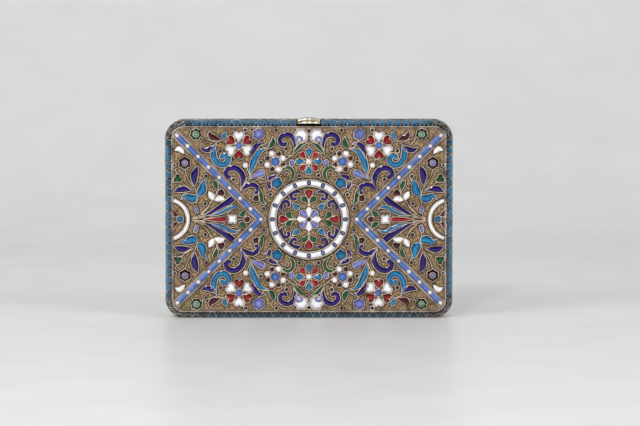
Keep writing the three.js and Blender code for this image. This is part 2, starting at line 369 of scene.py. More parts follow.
@dataclass(frozen=True)
class GroundFinish:
    """The stippled gilt ground between the enamels: golden, rosy and olive by turns, with painted shade in
    its pits.
    """

    golden: Colour = tone(213, 182, 130)
    rosy: Colour = tone(194, 154, 128)
    olive: Colour = tone(148, 137, 90)
    # Painted shade in the low parts of the stippled ground.
    pit_shade: Colour = tone(84, 70, 58)
    shade: Colour = tone(160, 146, 134)
    patch: float = 520.0
    broad: float = 1500.0
    stipple: float = 2300.0
    depth: float = 0.00009

    def material(self) -> bpy.types.Material:
        """Build the finish's material."""
        bench = NodeBench("gilt_stippled_ground")
        stops = [(0.38, self.olive), (0.47, self.golden), (0.56, self.rosy), (0.64, self.golden)]
        patches = bench.ramp(bench.noise(self.patch, 2.5, 0.7), stops)
        pits = bench.pits(self.stipple)
        # Painted shade: the ground darkens where it is struck deepest.
        struck = bench.ramp(pits, [(0.2, WHOLE), (0.8, self.pit_shade)])
        shaded = bench.ramp(bench.noise(self.broad, 2.0, 0.6), [(0.36, self.shade), (0.5, WHOLE)])
        colour = bench.blend("MULTIPLY", 0.9, patches, struck)
        bench.join(bench.blend("MULTIPLY", 1.0, colour, shaded), "Base Color")
        bench.join(bench.bump(pits, -self.depth), "Normal")
        bench.set(Metallic=0.5, Roughness=0.46)
        return bench.material


# Each finish's second tone lies at its cells' borders: deeper enamel at the wires, and painted shade.
ENAMELS: dict[Enamel, EnamelFinish] = {
    # The white's grey second tone is painted shade only.
    Enamel.WHITE: EnamelFinish("white", tone(246, 246, 248), tone(176, 172, 184), evenness=232, edge_to=0.5),
    Enamel.RED: EnamelFinish("red", tone(176, 22, 34), tone(74, 6, 14)),
    Enamel.MAROON: EnamelFinish("maroon", tone(84, 20, 34), tone(20, 4, 10)),
    Enamel.COBALT: EnamelFinish("cobalt", tone(44, 14, 126), tone(8, 2, 38), edge_from=0.3),
    Enamel.TURQUOISE: EnamelFinish("turquoise", tone(36, 134, 186), tone(10, 64, 104)),
    Enamel.LAVENDER: EnamelFinish("lavender", tone(138, 148, 212), tone(84, 88, 156)),
    Enamel.CORNFLOWER: EnamelFinish("cornflower", tone(96, 134, 206), tone(52, 78, 152)),
    Enamel.GREEN: EnamelFinish("green", tone(18, 94, 52), tone(2, 30, 18)),
    Enamel.PALE_GREEN: EnamelFinish("pale_green", tone(128, 196, 162), tone(62, 126, 98)),
    Enamel.AUBERGINE: EnamelFinish("aubergine", tone(38, 10, 42), tone(8, 2, 10)),
    Enamel.NAVY: EnamelFinish("navy", tone(14, 18, 28), tone(5, 7, 12)),
    Enamel.TRELLIS: EnamelFinish("trellis_blue", tone(62, 128, 166), tone(22, 62, 92), 300.0, evenness=150),
    # The darker trellis blue: painted shade along the bottom of the edge, and also on the cells beside the
    # corners.
    Enamel.DUSK: EnamelFinish("trellis_dusk_and_shade", tone(44, 92, 112), tone(14, 38, 52), 300.0, evenness=150),
    Enamel.SLATE: EnamelFinish("slate", tone(104, 104, 122), tone(62, 62, 76)),
    Enamel.SMOKE: EnamelFinish("smoke", tone(76, 80, 72), tone(14, 16, 16), roughness=0.3, evenness=120),
}


class Finishes:
    """Every finish on the case, each made once."""

    def __init__(self) -> None:
        """Build the materials."""
        self.enamel = {colour: finish.material() for colour, finish in ENAMELS.items()}
        self.ground = GroundFinish().material()
        self.wire = GiltFinish(
            "wire",
            bright=tone(238, 220, 196),
            dull=tone(208, 184, 158),
            dark=tone(146, 114, 90),
            metallic=0.35,
            roughness=0.34,
        ).material()
        # The dark finish of the lines along the wires' feet: painted shade beside the wires, and tarnished
        # solder.
        self.tarnish_and_shade = GiltFinish(
            "tarnish_and_shade",
            bright=tone(40, 28, 22),
            dull=tone(22, 15, 13),
            dark=tone(10, 8, 8),
            metallic=0.1,
            roughness=0.6,
        ).material()
        self.silver_wire = GiltFinish(
            "silver_wire",
            bright=tone(204, 198, 190),
            dull=tone(146, 140, 136),
            dark=tone(74, 70, 68),
            metallic=0.4,
            roughness=0.32,
        ).material()
        self.plain = GiltFinish(
            "plain",
            bright=tone(232, 206, 152),
            dull=tone(216, 188, 132),
            dark=tone(188, 158, 106),
            roughness=0.3,
            cloud=60.0,
            grain=5200.0,
            grain_depth=0.000006,
        ).material()
        self.rubbed = GiltFinish(
            "rubbed",
            bright=tone(244, 240, 228),
            dull=tone(226, 218, 200),
            dark=tone(178, 164, 134),
            roughness=0.28,
            cloud=220.0,
            grain=1800.0,
            grain_depth=0.000004,
        ).material()


def eased(a: Any, b: Any, c: Any, d: Any, share: float) -> Any:
    """The smooth value at a share of the way from b to c, where a comes before them and d after."""
    slope = (c - a) * share
    bend = (2 * a - 5 * b + 4 * c - d) * share**2
    return 0.5 * (2 * b + slope + bend + (3 * b - a - 3 * c + d) * share**3)


def flowing(points: Sequence[Vector], per_span: int) -> list[Vector]:
    """Points close together on a smooth line through a few.

    Args:
        points: The points that the line goes through.
        per_span: How many steps lie between two of them.

    Returns:
        The closer points, from the first given one to the last.
    """
    if len(points) < 3:
        first, last = points[0], points[-1]
        return [first.lerp(last, i / per_span) for i in range(per_span + 1)]
    before = points[0] * 2 - points[1]
    after = points[-1] * 2 - points[-2]
    held = [before, *points, after]
    line = [points[0].copy()]
    for a, b, c, d in zip(held, held[1:], held[2:], held[3:]):
        line.extend(eased(a, b, c, d, i / per_span) for i in range(1, per_span + 1))
    return line


def flat(points: Line) -> list[Vector]:
    """Pairs of numbers as flat vectors."""
    return [Vector(pair) for pair in points]


def section_of(side: float, height: float) -> tuple[Point, ...]:
    """A domed section: from one border over a shoulder and the middle to the other, as shares."""
    return ((-1, 0), (-side, height), (0, 1), (side, height), (1, 0))


@dataclass(frozen=True)
class Station:
    """One place along a stroke: the middle, the way across, and half of the width there."""

    middle: Vector
    across: Vector
    half: float


@dataclass(frozen=True)
class Stroke:
    """An enamel cell that runs along a line, such as a scroll, a leaf, a drop or a band."""

    enamel: Enamel
    spine: Line
    widths: tuple[float, ...]
    rise: float = 0.26
    curved: bool = True
    wired: bool = True
    section: tuple[Point, ...] = section_of(0.72, 0.72)
    least_width = 0.04

    def width_at(self, share: float) -> float:
        """The full width at a place along the cell.

        Args:
            share: The place, as a share of the length.

        Returns:
            The width in millimetres.
        """
        if len(self.widths) == 1:
            return self.widths[0]
        held = (self.widths[0], *self.widths, self.widths[-1])
        place = share * (len(self.widths) - 1)
        index = min(int(place), len(self.widths) - 2)
        return max(eased(*held[index : index + 4], place - index), self.least_width)

    def stations(self) -> list[Station]:
        """The places where the cell's section stands, with round ends where the ends are wide.

        Returns:
            The places, from the cell's start to its end.
        """
        line = flowing(flat(self.spine), 6) if self.curved else flat(self.spine)
        gone = [0.0]
        for a, b in zip(line, line[1:]):
            gone.append(gone[-1] + (b - a).length)
        total = gone[-1]
        made = []
        for i, middle in enumerate(line):
            back = (middle - line[i - 1]).normalized() if i else (line[1] - middle).normalized()
            on = (line[i + 1] - middle).normalized() if i + 1 < len(line) else back
            way = (back + on).normalized()
            across = Vector((-way.y, way.x))
            mitre = 1 / max(0.35, way.dot(back))
            half = self.width_at(gone[i] / total) / 2 * mitre
            if self.curved:
                half *= self.round_off(gone[i], self.widths[0] / 2)
                half *= self.round_off(total - gone[i], self.widths[-1] / 2)
            made.append(Station(middle, across, max(half, self.least_width / 2)))
        return made

    @staticmethod
    def round_off(gone: float, radius: float) -> float:
        """How the width shrinks near a round end.

        Args:
            gone: The distance from the end.
            radius: The radius that the end is rounded to.

        Returns:
            The share of the width that is left.
        """
        if radius < 0.15 or gone >= radius:
            return 1.0
        return math.sqrt(max(0.0, 1 - (1 - gone / radius) ** 2))

    def raise_cell(self, bm: bmesh.types.BMesh) -> None:
        """Draw the domed section out along the line.

        Args:
            bm: The empty bmesh to build in.
        """
        stations = self.stations()
        # This value darkens the enamel towards the border, as deeper enamel and painted shade.
        pool_and_shade = bm.verts.layers.float.new(POOL_AND_SHADE)
        row = [bm.verts.new((0, 0, 0)) for _ in self.section]
        edges = [bm.edges.new(pair) for pair in zip(row, row[1:])]
        self.set_row(row, stations[0], pool_and_shade)
        for station in stations[1:]:
            grown = bmesh.ops.extrude_edge_only(bm, edges=edges)["geom"]
            edges = [item for item in grown if isinstance(item, bmesh.types.BMEdge)]
            row = self.in_order(edges, row)
            self.set_row(row, station, pool_and_shade)
        bm.normal_update()
        bmesh.ops.reverse_faces(bm, faces=[f for f in bm.faces if f.normal.z < 0])

    @staticmethod
    def in_order(edges: Sequence[bmesh.types.BMEdge], row: Sequence[bmesh.types.BMVert]) -> list:
        """The new row's points in the order of the old row's.

        Args:
            edges: The new row's edges.
            row: The old row's points.

        Returns:
            The new row's points.
        """
        new = {vert for edge in edges for vert in edge.verts}
        return [next(e.other_vert(v) for e in v.link_edges if e.other_vert(v) in new) for v in row]

    def set_row(self, row: Sequence[bmesh.types.BMVert], station: Station, pool_and_shade: Any) -> None:
        """Set one row of points to the section's form at a station.

        Args:
            row: The points.
            station: Where they stand.
            pool_and_shade: The layer that holds how far each point is from the cell's border.
        """
        for vert, (side, height) in zip(row, self.section):
            spot = station.middle + station.across * side * station.half
            vert.co = (spot.x, spot.y, height * self.rise)
            vert[pool_and_shade] = 1 - abs(side)

    def outline(self) -> list[Vector]:
        """The cell's border.

        Returns:
            Its points, once round.
        """
        stations = self.stations()
        left = [s.middle + s.across * s.half for s in stations]
        right = [s.middle - s.across * s.half for s in stations]
        return left + right[::-1]

    def moved(self, place: Callable[[Vector], Vector]) -> "Stroke":
        """The same cell with its line sent elsewhere."""
        return replace(self, spine=tuple(tuple(place(Vector(point))) for point in self.spine))


@dataclass(frozen=True)
class Patch:
    """An enamel cell with a border that is seen whole from its middle, such as a dot, a bud or a petal."""

    enamel: Enamel
    border: Line
    rise: float = 0.26
    wired: bool = True
    shoulder = 0.72
    shoulder_pool_and_shade = 0.3

    def raise_cell(self, bm: bmesh.types.BMesh) -> None:
        """Raise a dome inside the border.

        Args:
            bm: The empty bmesh to build in.
        """
        # This value darkens the enamel towards the border, as deeper enamel and painted shade.
        pool_and_shade = bm.verts.layers.float.new(POOL_AND_SHADE)
        base = bm.faces.new([bm.verts.new((*point, 0)) for point in self.border])
        base.normal_update()
        if base.normal.z < 0:
            base.normal_flip()
        middle = base.calc_center_median()
        top = bmesh.ops.extrude_discrete_faces(bm, faces=[base])["faces"]
        about = Matrix.Translation(-middle)
        bmesh.ops.scale(bm, vec=(self.shoulder, self.shoulder, 1), space=about, verts=top[0].verts)
        bmesh.ops.translate(bm, vec=(0, 0, self.rise * self.shoulder), verts=top[0].verts)
        for vert in top[0].verts:
            vert[pool_and_shade] = self.shoulder_pool_and_shade
        crown = bmesh.ops.poke(bm, faces=top, offset=self.rise * (1 - self.shoulder))["verts"]
        for vert in crown:
            vert[pool_and_shade] = 1.0

    def outline(self) -> list[Vector]:
        """The cell's border, once round."""
        return flat(self.border)

    def moved(self, place: Callable[[Vector], Vector]) -> "Patch":
        """The same cell with its border sent elsewhere."""
        return replace(self, border=tuple(tuple(place(Vector(point))) for point in self.border))


Cell = Stroke | Patch


def around(centre: Point, count: int, radius: Callable[[float], float], start: float = 90.0) -> Line:
    """A closed border given by its distance from a centre.

    Args:
        centre: The centre.
        count: How many points the border has.
        radius: The distance at an angle in radians, measured from the start.
        start: The direction of the first point, in degrees.

    Returns:
        The border's points.
    """
    points = []
    for i in range(count):
        turn = FULL_TURN * i / count
        angle = turn + math.radians(start)
        x = centre[0] + radius(turn) * math.cos(angle)
        y = centre[1] + radius(turn) * math.sin(angle)
        points.append((x, y))
    return tuple(points)


def out_from(centre: Point, angle: float, distance: float, beside: float = 0.0) -> Point:
    """The point that is set out from another one.

    Args:
        centre: The point that it is set out from.
        angle: The direction in degrees.
        distance: How far it is along that direction.
        beside: How far it is to the left of it.

    Returns:
        The point.
    """
    turn = math.radians(angle)
    return (
        centre[0] + distance * math.cos(turn) - beside * math.sin(turn),
        centre[1] + distance * math.sin(turn) + beside * math.cos(turn),
    )


def oval(centre: Point, angle: float, length: float, width: float, count: int = 14) -> Line:
    """An oval border.

    Args:
        centre: Its centre.
        angle: The direction of its length, in degrees.
        length: Its length.
        width: Its width.
        count: How many points the border has.

    Returns:
        The border's points.
    """
    points = []
    for i in range(count):
        turn = FULL_TURN * i / count
        points.append(out_from(centre, angle, math.cos(turn) * length / 2, math.sin(turn) * width / 2))
    return tuple(points)


def dot(enamel: Enamel, centre: Point, radius: float) -> Patch:
    """A small round cell."""
    return Patch(enamel, around(centre, 12, lambda _: radius), rise=0.3)


def lobed(
    enamel: Enamel,
    centre: Point,
    radius: float,
    lobes: int,
    depth: float = 0.16,
    start: float = 90.0,
) -> Patch:
    """A round cell with a wavy border.

    Args:
        enamel: Its colour.
        centre: Its centre.
        radius: The distance of the lobes' tips.
        lobes: How many lobes there are.
        depth: How far the border dips between them, as a share of the radius.
        start: The direction of the first lobe, in degrees.

    Returns:
        The cell.
    """

    def reach(turn: float) -> float:
        """The border's distance from the centre at an angle."""
        return radius * (1 - depth * (1 - abs(math.cos(lobes * turn / 2))))

    return Patch(enamel, around(centre, lobes * 6, reach, start))


def heart(enamel: Enamel, centre: Point, angle: float, near: float, far: float, width: float) -> Patch:
    """A heart-shaped petal with its point at the flower's middle.

    Args:
        enamel: Its colour.
        centre: The flower's middle.
        angle: The way it points, in degrees.
        near: The distance of its point from the middle.
        far: The distance of its two lobes' tops from the middle.
        width: Its greatest width.

    Returns:
        The cell.
    """
    points = []
    count, foot, whole = 20, 17, 29  # the formula's heart reaches from 17 below its middle, and is 29 high
    for i in range(count):
        t = FULL_TURN * i / count
        side = math.sin(t) ** 3 * width / 2
        rise = (13 * math.cos(t) - 5 * math.cos(2 * t) - 2 * math.cos(3 * t) - math.cos(4 * t)) / whole
        points.append(out_from(centre, angle, near + (rise + foot / whole) * (far - near), side))
    return Patch(enamel, tuple(points))


def drop(enamel: Enamel, centre: Point, angle: float, tip: float, end: float, width: float) -> Stroke:
    """A drop with its point at one distance from a centre and its round end at another.

    Args:
        enamel: Its colour.
        centre: The point that it is set out from.
        angle: The direction from there, in degrees.
        tip: The distance of its point.
        end: The distance of its round end, which may be the nearer one.
        width: Its greatest width.

    Returns:
        The cell.
    """
    spine = tuple(out_from(centre, angle, reach) for reach in (tip, (tip + end) / 2, end))
    return Stroke(enamel, spine, (0.1, width * 0.66, width * 1.06, width * 1.06))


def leaf(enamel: Enamel, *spine: Point, width: float = 1.7) -> Stroke:
    """A leaf along a line, pointed at both ends."""
    return Stroke(enamel, spine, (0.05, width * 0.9, width * 1.15, width * 0.8, 0.05))


def scroll(enamel: Enamel, *spine: Point, width: float = 1.5) -> Stroke:
    """A scroll along a line, from a thin tail to a round curled end."""
    return Stroke(enamel, spine, (0.1, width, width * 1.12, width * 1.12, width, width * 0.85))


@dataclass
class Design:
    """The cells and stems of one face, gathered before they are laid on it."""

    cells: list[Cell] = field(default_factory=list)
    stems: list[tuple[Line, float]] = field(default_factory=list)

    def add(self, *cells: Cell) -> None:
        """Add cells."""
        self.cells.extend(cells)

    def stem(self, *points: Point, radius: float = 0.15) -> None:
        """Add a thin bare wire along a line."""
        self.stems.append((points, radius))

    def mirrored(self, across: int, up: int, chance: random.Random, shake: float = 0.07) -> "Design":
        """A copy turned over across the middle lines, with the small unevenness of handwork.

        Args:
            across: 1 or -1 along the case.
            up: 1 or -1 up the case.
            chance: The source of the unevenness.
            shake: How far a cell may sit off its place, in millimetres.

        Returns:
            The copy.
        """
        made = Design()
        for cell in self.cells:
            off = Vector((chance.uniform(-shake, shake), chance.uniform(-shake, shake)))
            made.add(cell.moved(lambda p, off=off: Vector((p.x * across, p.y * up)) + off))
        for points, radius in self.stems:
            made.stems.append((tuple((x * across, y * up) for x, y in points), radius))
        return made


@dataclass(frozen=True)
class FaceGround:
    """The flat panel of one half: flat work lies across it, up from its middle, and out from it."""

    half: Half

    def place(self, spot: Vector) -> Vector:
        """A flat spot as a point of the case, in metres."""
        way = self.half.way
        return Vector((-way * spot.x, way * (CASE.half_thickness + spot.z), CASE.height / 2 + spot.y)) * MM


@dataclass(frozen=True)
class EdgeGround:
    """The rounded edge of one half, unrolled: along it clockwise, over it towards the side, and out."""

    half: Half
    cells_along: int = 31
    cells_up: int = 20
    cells_round: int = 3
    pitch: float = 3.1
    breadth: float = 4.8
    worn_flat: float = 0.01

    @property
    def cells(self) -> int:
        """How many trellis cells go round."""
        return 2 * self.cells_along + 2 * self.cells_up + 4 * self.cells_round

    def outline_at(self, cell: float) -> tuple[Vector, Vector]:
        """The case's outline at a number of cells from the upper left.

        Args:
            cell: How many cells from the start, not always whole.

        Returns:
            The point of the outline, and the way out of it.
        """
        x = CASE.straight_half
        low, high = CASE.corner_radius, CASE.height - CASE.corner_radius
        corners = (Vector((-x, high)), Vector((x, high)), Vector((x, low)), Vector((-x, low)))
        runs = (self.cells_along, self.cells_up, self.cells_along, self.cells_up)
        left = cell % self.cells
        for i, run in enumerate(runs):
            out = Vector((math.sin(i * math.pi / 2), math.cos(i * math.pi / 2)))
            start, end = corners[i], corners[(i + 1) % 4]
            if left <= run:
                return start.lerp(end, left / run) + out * CASE.corner_radius, out
            left -= run
            if left <= self.cells_round:
                turn = i * math.pi / 2 + left / self.cells_round * math.pi / 2
                out = Vector((math.sin(turn), math.cos(turn)))
                return end + out * CASE.corner_radius, out
            left -= self.cells_round
        return self.outline_at(0)

    def place(self, spot: Vector) -> Vector:
        """Roll a flat spot onto the edge.

        Args:
            spot: How far it is along the edge, over it and out from it, in millimetres.

        Returns:
            The point of the case, in metres.
        """
        lean = min(max(spot.y / self.breadth, 0.0), 1.0) * math.pi / 2
        inset = CASE.edge_inset * (1 - math.sin(lean))
        depth = CASE.edge_depth * (1 - math.cos(lean))
        tilt = Vector((math.sin(lean) / CASE.edge_inset, math.cos(lean) / CASE.edge_depth)).normalized()
        point, out = self.outline_at(spot.x / self.pitch)
        flat_spot = point + out * (tilt.x * spot.z - inset)
        way = self.half.way
        rise = CASE.half_thickness - depth + tilt.y * spot.z
        return Vector((-way * flat_spot.x, way * rise, max(flat_spot.y, self.worn_flat))) * MM


Ground = FaceGround | EdgeGround


def finish_piece(
    name: str,
    bm: bmesh.types.BMesh,
    material: bpy.types.Material,
    body: str,
    sharp: float = 40.0,
) -> bpy.types.Object:
    """Make a piece of a bmesh, smooth it up to its sharp edges, and let it move with its body.

    Args:
        name: The piece's name.
        bm: The bmesh, which is freed.
        material: Its finish.
        body: The body that it moves with.
        sharp: The angle in degrees from which an edge stays sharp.

    Returns:
        The piece.
    """
    mesh = bpy.data.meshes.new(name)
    bm.to_mesh(mesh)
    bm.free()
    return dress_mesh(name, mesh, material, body, sharp)


def dress_mesh(
    name: str,
    mesh: bpy.types.Mesh,
    material: bpy.types.Material,
    body: str,
    sharp: float,
) -> bpy.types.Object:
    """Make a piece of a mesh; the arguments are those of finish_piece."""
    mesh.name = name
    mesh.materials.append(material)
    mesh.polygons.foreach_set("use_smooth", [True] * len(mesh.polygons))
    mesh.set_sharp_from_angle(angle=math.radians(sharp))
    piece = bpy.data.objects.new(name, mesh)
    bpy.context.scene.collection.objects.link(piece)
    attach(piece, body)
    triangles = sum(len(face.vertices) - 2 for face in mesh.polygons)
    LOG.info("%s: %d triangles", name, triangles)
    return piece


class Wirework:
    """Thin wires on one ground, bent from flat lines."""

    def __init__(self, radius_scale: float = 1.0, flatness: float = 1.0, lift: float = 0.0) -> None:
        """Start with no wires.

        Args:
            radius_scale: How much thicker than asked the wires are.
            flatness: Their height, as a share of a round wire's.
            lift: How far their middle is above the ground, in millimetres.
        """
        self.radius_scale = radius_scale
        self.flatness = flatness
        self.lift = lift
        self.curve = bpy.data.curves.new("wires", "CURVE")
        self.curve.dimensions = "3D"
        self.curve.twist_mode = "Z_UP"
        self.curve.bevel_depth = 1.0
        self.curve.bevel_resolution = 1
        self.curve.use_fill_caps = True
        self.least_step = 0.06

    def add(self, line: Sequence[Vector], radius: float, closed: bool, base: float = 0.0) -> None:
        """Add a wire.

        Args:
            line: The points that it goes through.
            radius: Its radius in millimetres.
            closed: Whether it goes once round.
            base: How far above the ground it lies.
        """
        kept = [line[0]]
        for point in line[1:]:
            if (point - kept[-1]).length > self.least_step:
                kept.append(point)
        if closed and (kept[0] - kept[-1]).length < self.least_step:
            kept.pop()
        if len(kept) < 2:
            return
        spline = self.curve.splines.new("POLY")
        spline.points.add(len(kept) - 1)
        for point, place in zip(spline.points, kept):
            point.co = (place.x, place.y, base / self.flatness, 1)
            point.radius = radius * self.radius_scale
        spline.use_cyclic_u = closed

    def mesh(self, ground: Ground) -> bpy.types.Mesh:
        """Lay the wires on their ground.

        Args:
            ground: The ground.

        Returns:
            The wires as a mesh.
        """
        holder = bpy.data.objects.new("wires", self.curve)
        mesh = bpy.data.meshes.new_from_object(holder)
        bpy.data.objects.remove(holder)
        bpy.data.curves.remove(self.curve)
        for vert in mesh.vertices:
            spot = vert.co
            vert.co = ground.place(Vector((spot.x, spot.y, spot.z * self.flatness + self.lift)))
        return mesh


class EnamelWork:
    """All cells and wires of one surface, made into one piece for each colour and each kind of wire."""

    cell_sharp = 75.0
    wire_sharp = 80.0

    def __init__(
        self,
        name: str,
        ground: Ground,
        finishes: Finishes,
        wire: bpy.types.Material,
        shadow_scale: float,
    ) -> None:
        """Start with nothing laid.

        Args:
            name: What the pieces' names start with.
            ground: Where the work lies.
            finishes: The finishes.
            wire: The finish of its wires.
            shadow_scale: How much wider than its wire the dark line along its foot is, which is painted
                shade beside the wire and tarnished solder.
        """
        self.name = name
        self.ground = ground
        self.finishes = finishes
        self.wire = wire
        self.colours: dict[Enamel, bmesh.types.BMesh] = {}
        self.wires = Wirework(lift=0.1, flatness=1.2)
        # Dark ribbons under the wires: painted shade beside each wire, and tarnished solder.
        self.shadows = Wirework(radius_scale=shadow_scale, flatness=0.12)
        self.scratch = bpy.data.meshes.new("scratch")

    def lay(self, cell: Cell, base: float = 0.0, radius: float = 0.14) -> None:
        """Lay one cell and the wire round it.

        Args:
            cell: The cell.
            base: How far above the ground it starts.
            radius: The radius of its wire.
        """
        bm = bmesh.new()
        cell.raise_cell(bm)
        for vert in bm.verts:
            vert.co = self.ground.place(vert.co + Vector((0, 0, base)))
        bm.to_mesh(self.scratch)
        bm.free()
        self.colours.setdefault(cell.enamel, bmesh.new()).from_mesh(self.scratch)
        if cell.wired:
            self.bend(cell.outline(), radius, True, base)

    def bend(self, line: Sequence[Vector], radius: float, closed: bool, base: float = 0.0) -> None:
        """Bend a wire, with a dark line along its foot that is painted shade beside the wire and tarnished
        solder; the arguments are Wirework.add's.
        """
        self.wires.add(line, radius, closed, base)
        self.shadows.add(line, radius, closed, base)

    def take(self, design: Design) -> None:
        """Lay a whole design."""
        for cell in design.cells:
            self.lay(cell)
        for points, radius in design.stems:
            self.bend(flowing(flat(points), 8), radius, False)

    def finish(self) -> None:
        """Make the pieces: one for each colour and two for the wires."""
        half = self.ground.half
        for colour, bm in self.colours.items():
            name = f"{self.name}_{colour.value}_enamel"
            finish_piece(name, bm, self.finishes.enamel[colour], half.value, self.cell_sharp)
        # The second kind is the dark ribbons of painted shade and tarnished solder.
        kinds = (("wires", self.wires, self.wire), ("tarnish_and_shade", self.shadows, self.finishes.tarnish_and_shade))
        for kind, work, material in kinds:
            mesh = work.mesh(self.ground)
            dress_mesh(f"{self.name}_{kind}", mesh, material, half.value, self.wire_sharp)
        bpy.data.meshes.remove(self.scratch)


@dataclass(frozen=True)
class FacePattern:
    """The pattern of a face: a ring with a medallion, two pointed bands, and flowers and scrolls between."""

    ring_outer: float = 15.3
    ring_inner: float = 12.6
    ring_dots: int = 16
    band_point: float = 18.33
    band_beads: int = 8
    bead_pitch: float = 5.68
    bead_radius: float = 0.72
    side_ring_centre: float = 53.9
    side_ring_outer: float = 8.4
    side_ring_width: float = 1.7
    panel_half: float = 52.5
    wire_room: float = 0.3
    axis_shake: float = 0.04

    def medallion(self) -> Design:
        """The eight-petalled star in the ring, with its drops and scrolls."""
        made = Design()
        middle = (0.0, 0.0)
        leaf_line = ((5.1, 0.3), (6.3, 0.6), (7.5, 1.4), (8.2, 3.0))
        scroll_line = ((10.2, 2.6), (10.7, 4.6), (10.2, 6.3), (9.0, 6.9), (7.9, 6.4), (7.7, 5.3), (8.6, 4.8))
        for turn in range(4):
            way = 90.0 * turn
            petal = (out_from(middle, way, 0.9), out_from(middle, way, 2.7), out_from(middle, way, 4.7))
            between = tuple(out_from(middle, way + 45, reach) for reach in (0.9, 2.8, 4.6))
            made.add(
                Stroke(Enamel.WHITE, petal, (0.7, 1.5, 2.4, 2.4, 0.5)),
                Stroke(Enamel.LAVENDER, between, (0.7, 1.7, 2.7, 2.9, 1.5)),
                drop(Enamel.TURQUOISE, middle, way + 45, 9.0, 5.3, 2.3),
                drop(Enamel.RED, middle, way, 7.4, 11.7, 3.1),
            )
            for side in (-1, 1):
                leaf_spine = tuple(out_from(middle, way, x, y * side) for x, y in leaf_line)
                scroll_spine = tuple(out_from(middle, way, x, y * side) for x, y in scroll_line)
                made.add(
                    Stroke(Enamel.GREEN, leaf_spine, (0.15, 0.7, 1.8, 2.5, 2.5)),
                    Stroke(Enamel.COBALT, scroll_spine, (0.4, 1.5, 1.7, 1.6, 1.4, 1.3)),
                )
            made.stem(out_from(middle, way, 4.7), out_from(middle, way, 7.5), radius=0.2)
            made.stem(out_from(middle, way + 45, 9.0), out_from(middle, way + 45, 10.4))
        made.add(dot(Enamel.NAVY, middle, 1.0))
        return made

    def flower_on_axis(self) -> Design:
        """The eight-petalled flower above the ring, with a dot over it."""
        made = Design()
        middle = (0.0, 22.2)
        for turn in range(8):
            if turn % 2:
                made.add(drop(Enamel.RED, middle, 45.0 * turn, 1.2, 4.9, 2.3))
            else:
                made.add(drop(Enamel.TURQUOISE, middle, 45.0 * turn, 1.3, 5.2, 2.4))
        made.add(dot(Enamel.WHITE, middle, 1.05), dot(Enamel.AUBERGINE, (0.0, 33.9), 0.95))
        made.stem((0.0, 27.5), (0.0, 29.3))
        return made

    def top_group(self) -> Design:
        """What lies in a quarter above the band, from the middle out to the corner."""
        made = Design()
        self.add_crown(made)
        self.add_big_leaves(made)
        self.add_band_scrolls(made)
        made.add(*self.ball_flower((12.9, 22.2)))
        made.add(*self.heart_flower((26.8, 28.3)))
        made.add(*self.rosette((43.2, 32.6)))
        berries = (
            (12.5, 34.2), (24.3, 34.2), (18.4, 21.8), (3.7, 16.8), (8.7, 27.0), (28.8, 15.2), (17.3, 4.1),
        )
        for spot in berries:
            made.add(dot(Enamel.AUBERGINE, spot, 0.85))
        made.add(dot(Enamel.AUBERGINE, (14.8, 9.5), 0.8), dot(Enamel.WHITE, (24.3, 20.7), 1.05))
        return made

    def plainer_group(self) -> Design:
        """What lies in a quarter of the back."""
        made = Design()
        self.add_band_scrolls(made)
        made.add(*self.heart_flower((20.6, 28.0)))
        made.add(*self.rosette((43.2, 32.6)))
        made.add(*self.ball_flower((46.2, 17.0)))
        for spot in ((8.7, 27.0), (33.4, 33.4), (34.5, 8.6), (42.0, 5.2), (12.9, 22.2)):
            made.add(dot(Enamel.AUBERGINE, spot, 0.85))
        made.add(leaf(Enamel.TURQUOISE, (32.2, 21.6), (34.9, 24.2), (36.0, 28.4), width=2.2))
        made.stem((36.4, 8.2), (39.6, 10.2), (42.3, 14.0))
        return made

    @staticmethod
    def add_crown(made: Design) -> None:
        """Add what stands at the middle of the top: a scroll, a white fan and a green spray."""
        made.add(
            scroll(
                Enamel.COBALT,
                (6.0, 26.4), (5.3, 29.2), (6.4, 31.7), (8.8, 32.5),
                (10.9, 31.2), (10.9, 29.2), (9.4, 28.6), (8.7, 29.8),
                width=1.9,
            ),
            lobed(Enamel.WHITE, (2.95, 32.0), 3.0, 7, depth=0.2, start=60),
            Stroke(
                Enamel.LAVENDER,
                ((4.9, 28.7), (5.0, 30.2), (4.2, 31.4), (2.9, 31.2), (2.8, 30.2), (3.6, 30.0)),
                (0.4, 1.0, 1.2, 1.1, 1.0, 0.8),
                rise=0.42,
            ),
            leaf(Enamel.GREEN, (0.3, 29.1), (2.3, 28.9), (4.3, 27.1), (6.3, 24.7), width=1.4),
            Patch(Enamel.LAVENDER, oval((6.6, 21.5), 80, 2.9, 2.0)),
        )
        made.stem((6.3, 24.7), (7.9, 24.4), (9.2, 25.2), (8.6, 26.3))
        made.stem((5.0, 24.4), (4.2, 25.4), (2.9, 25.6))
        made.stem((7.0, 24.2), (8.3, 23.3), (9.2, 22.3))

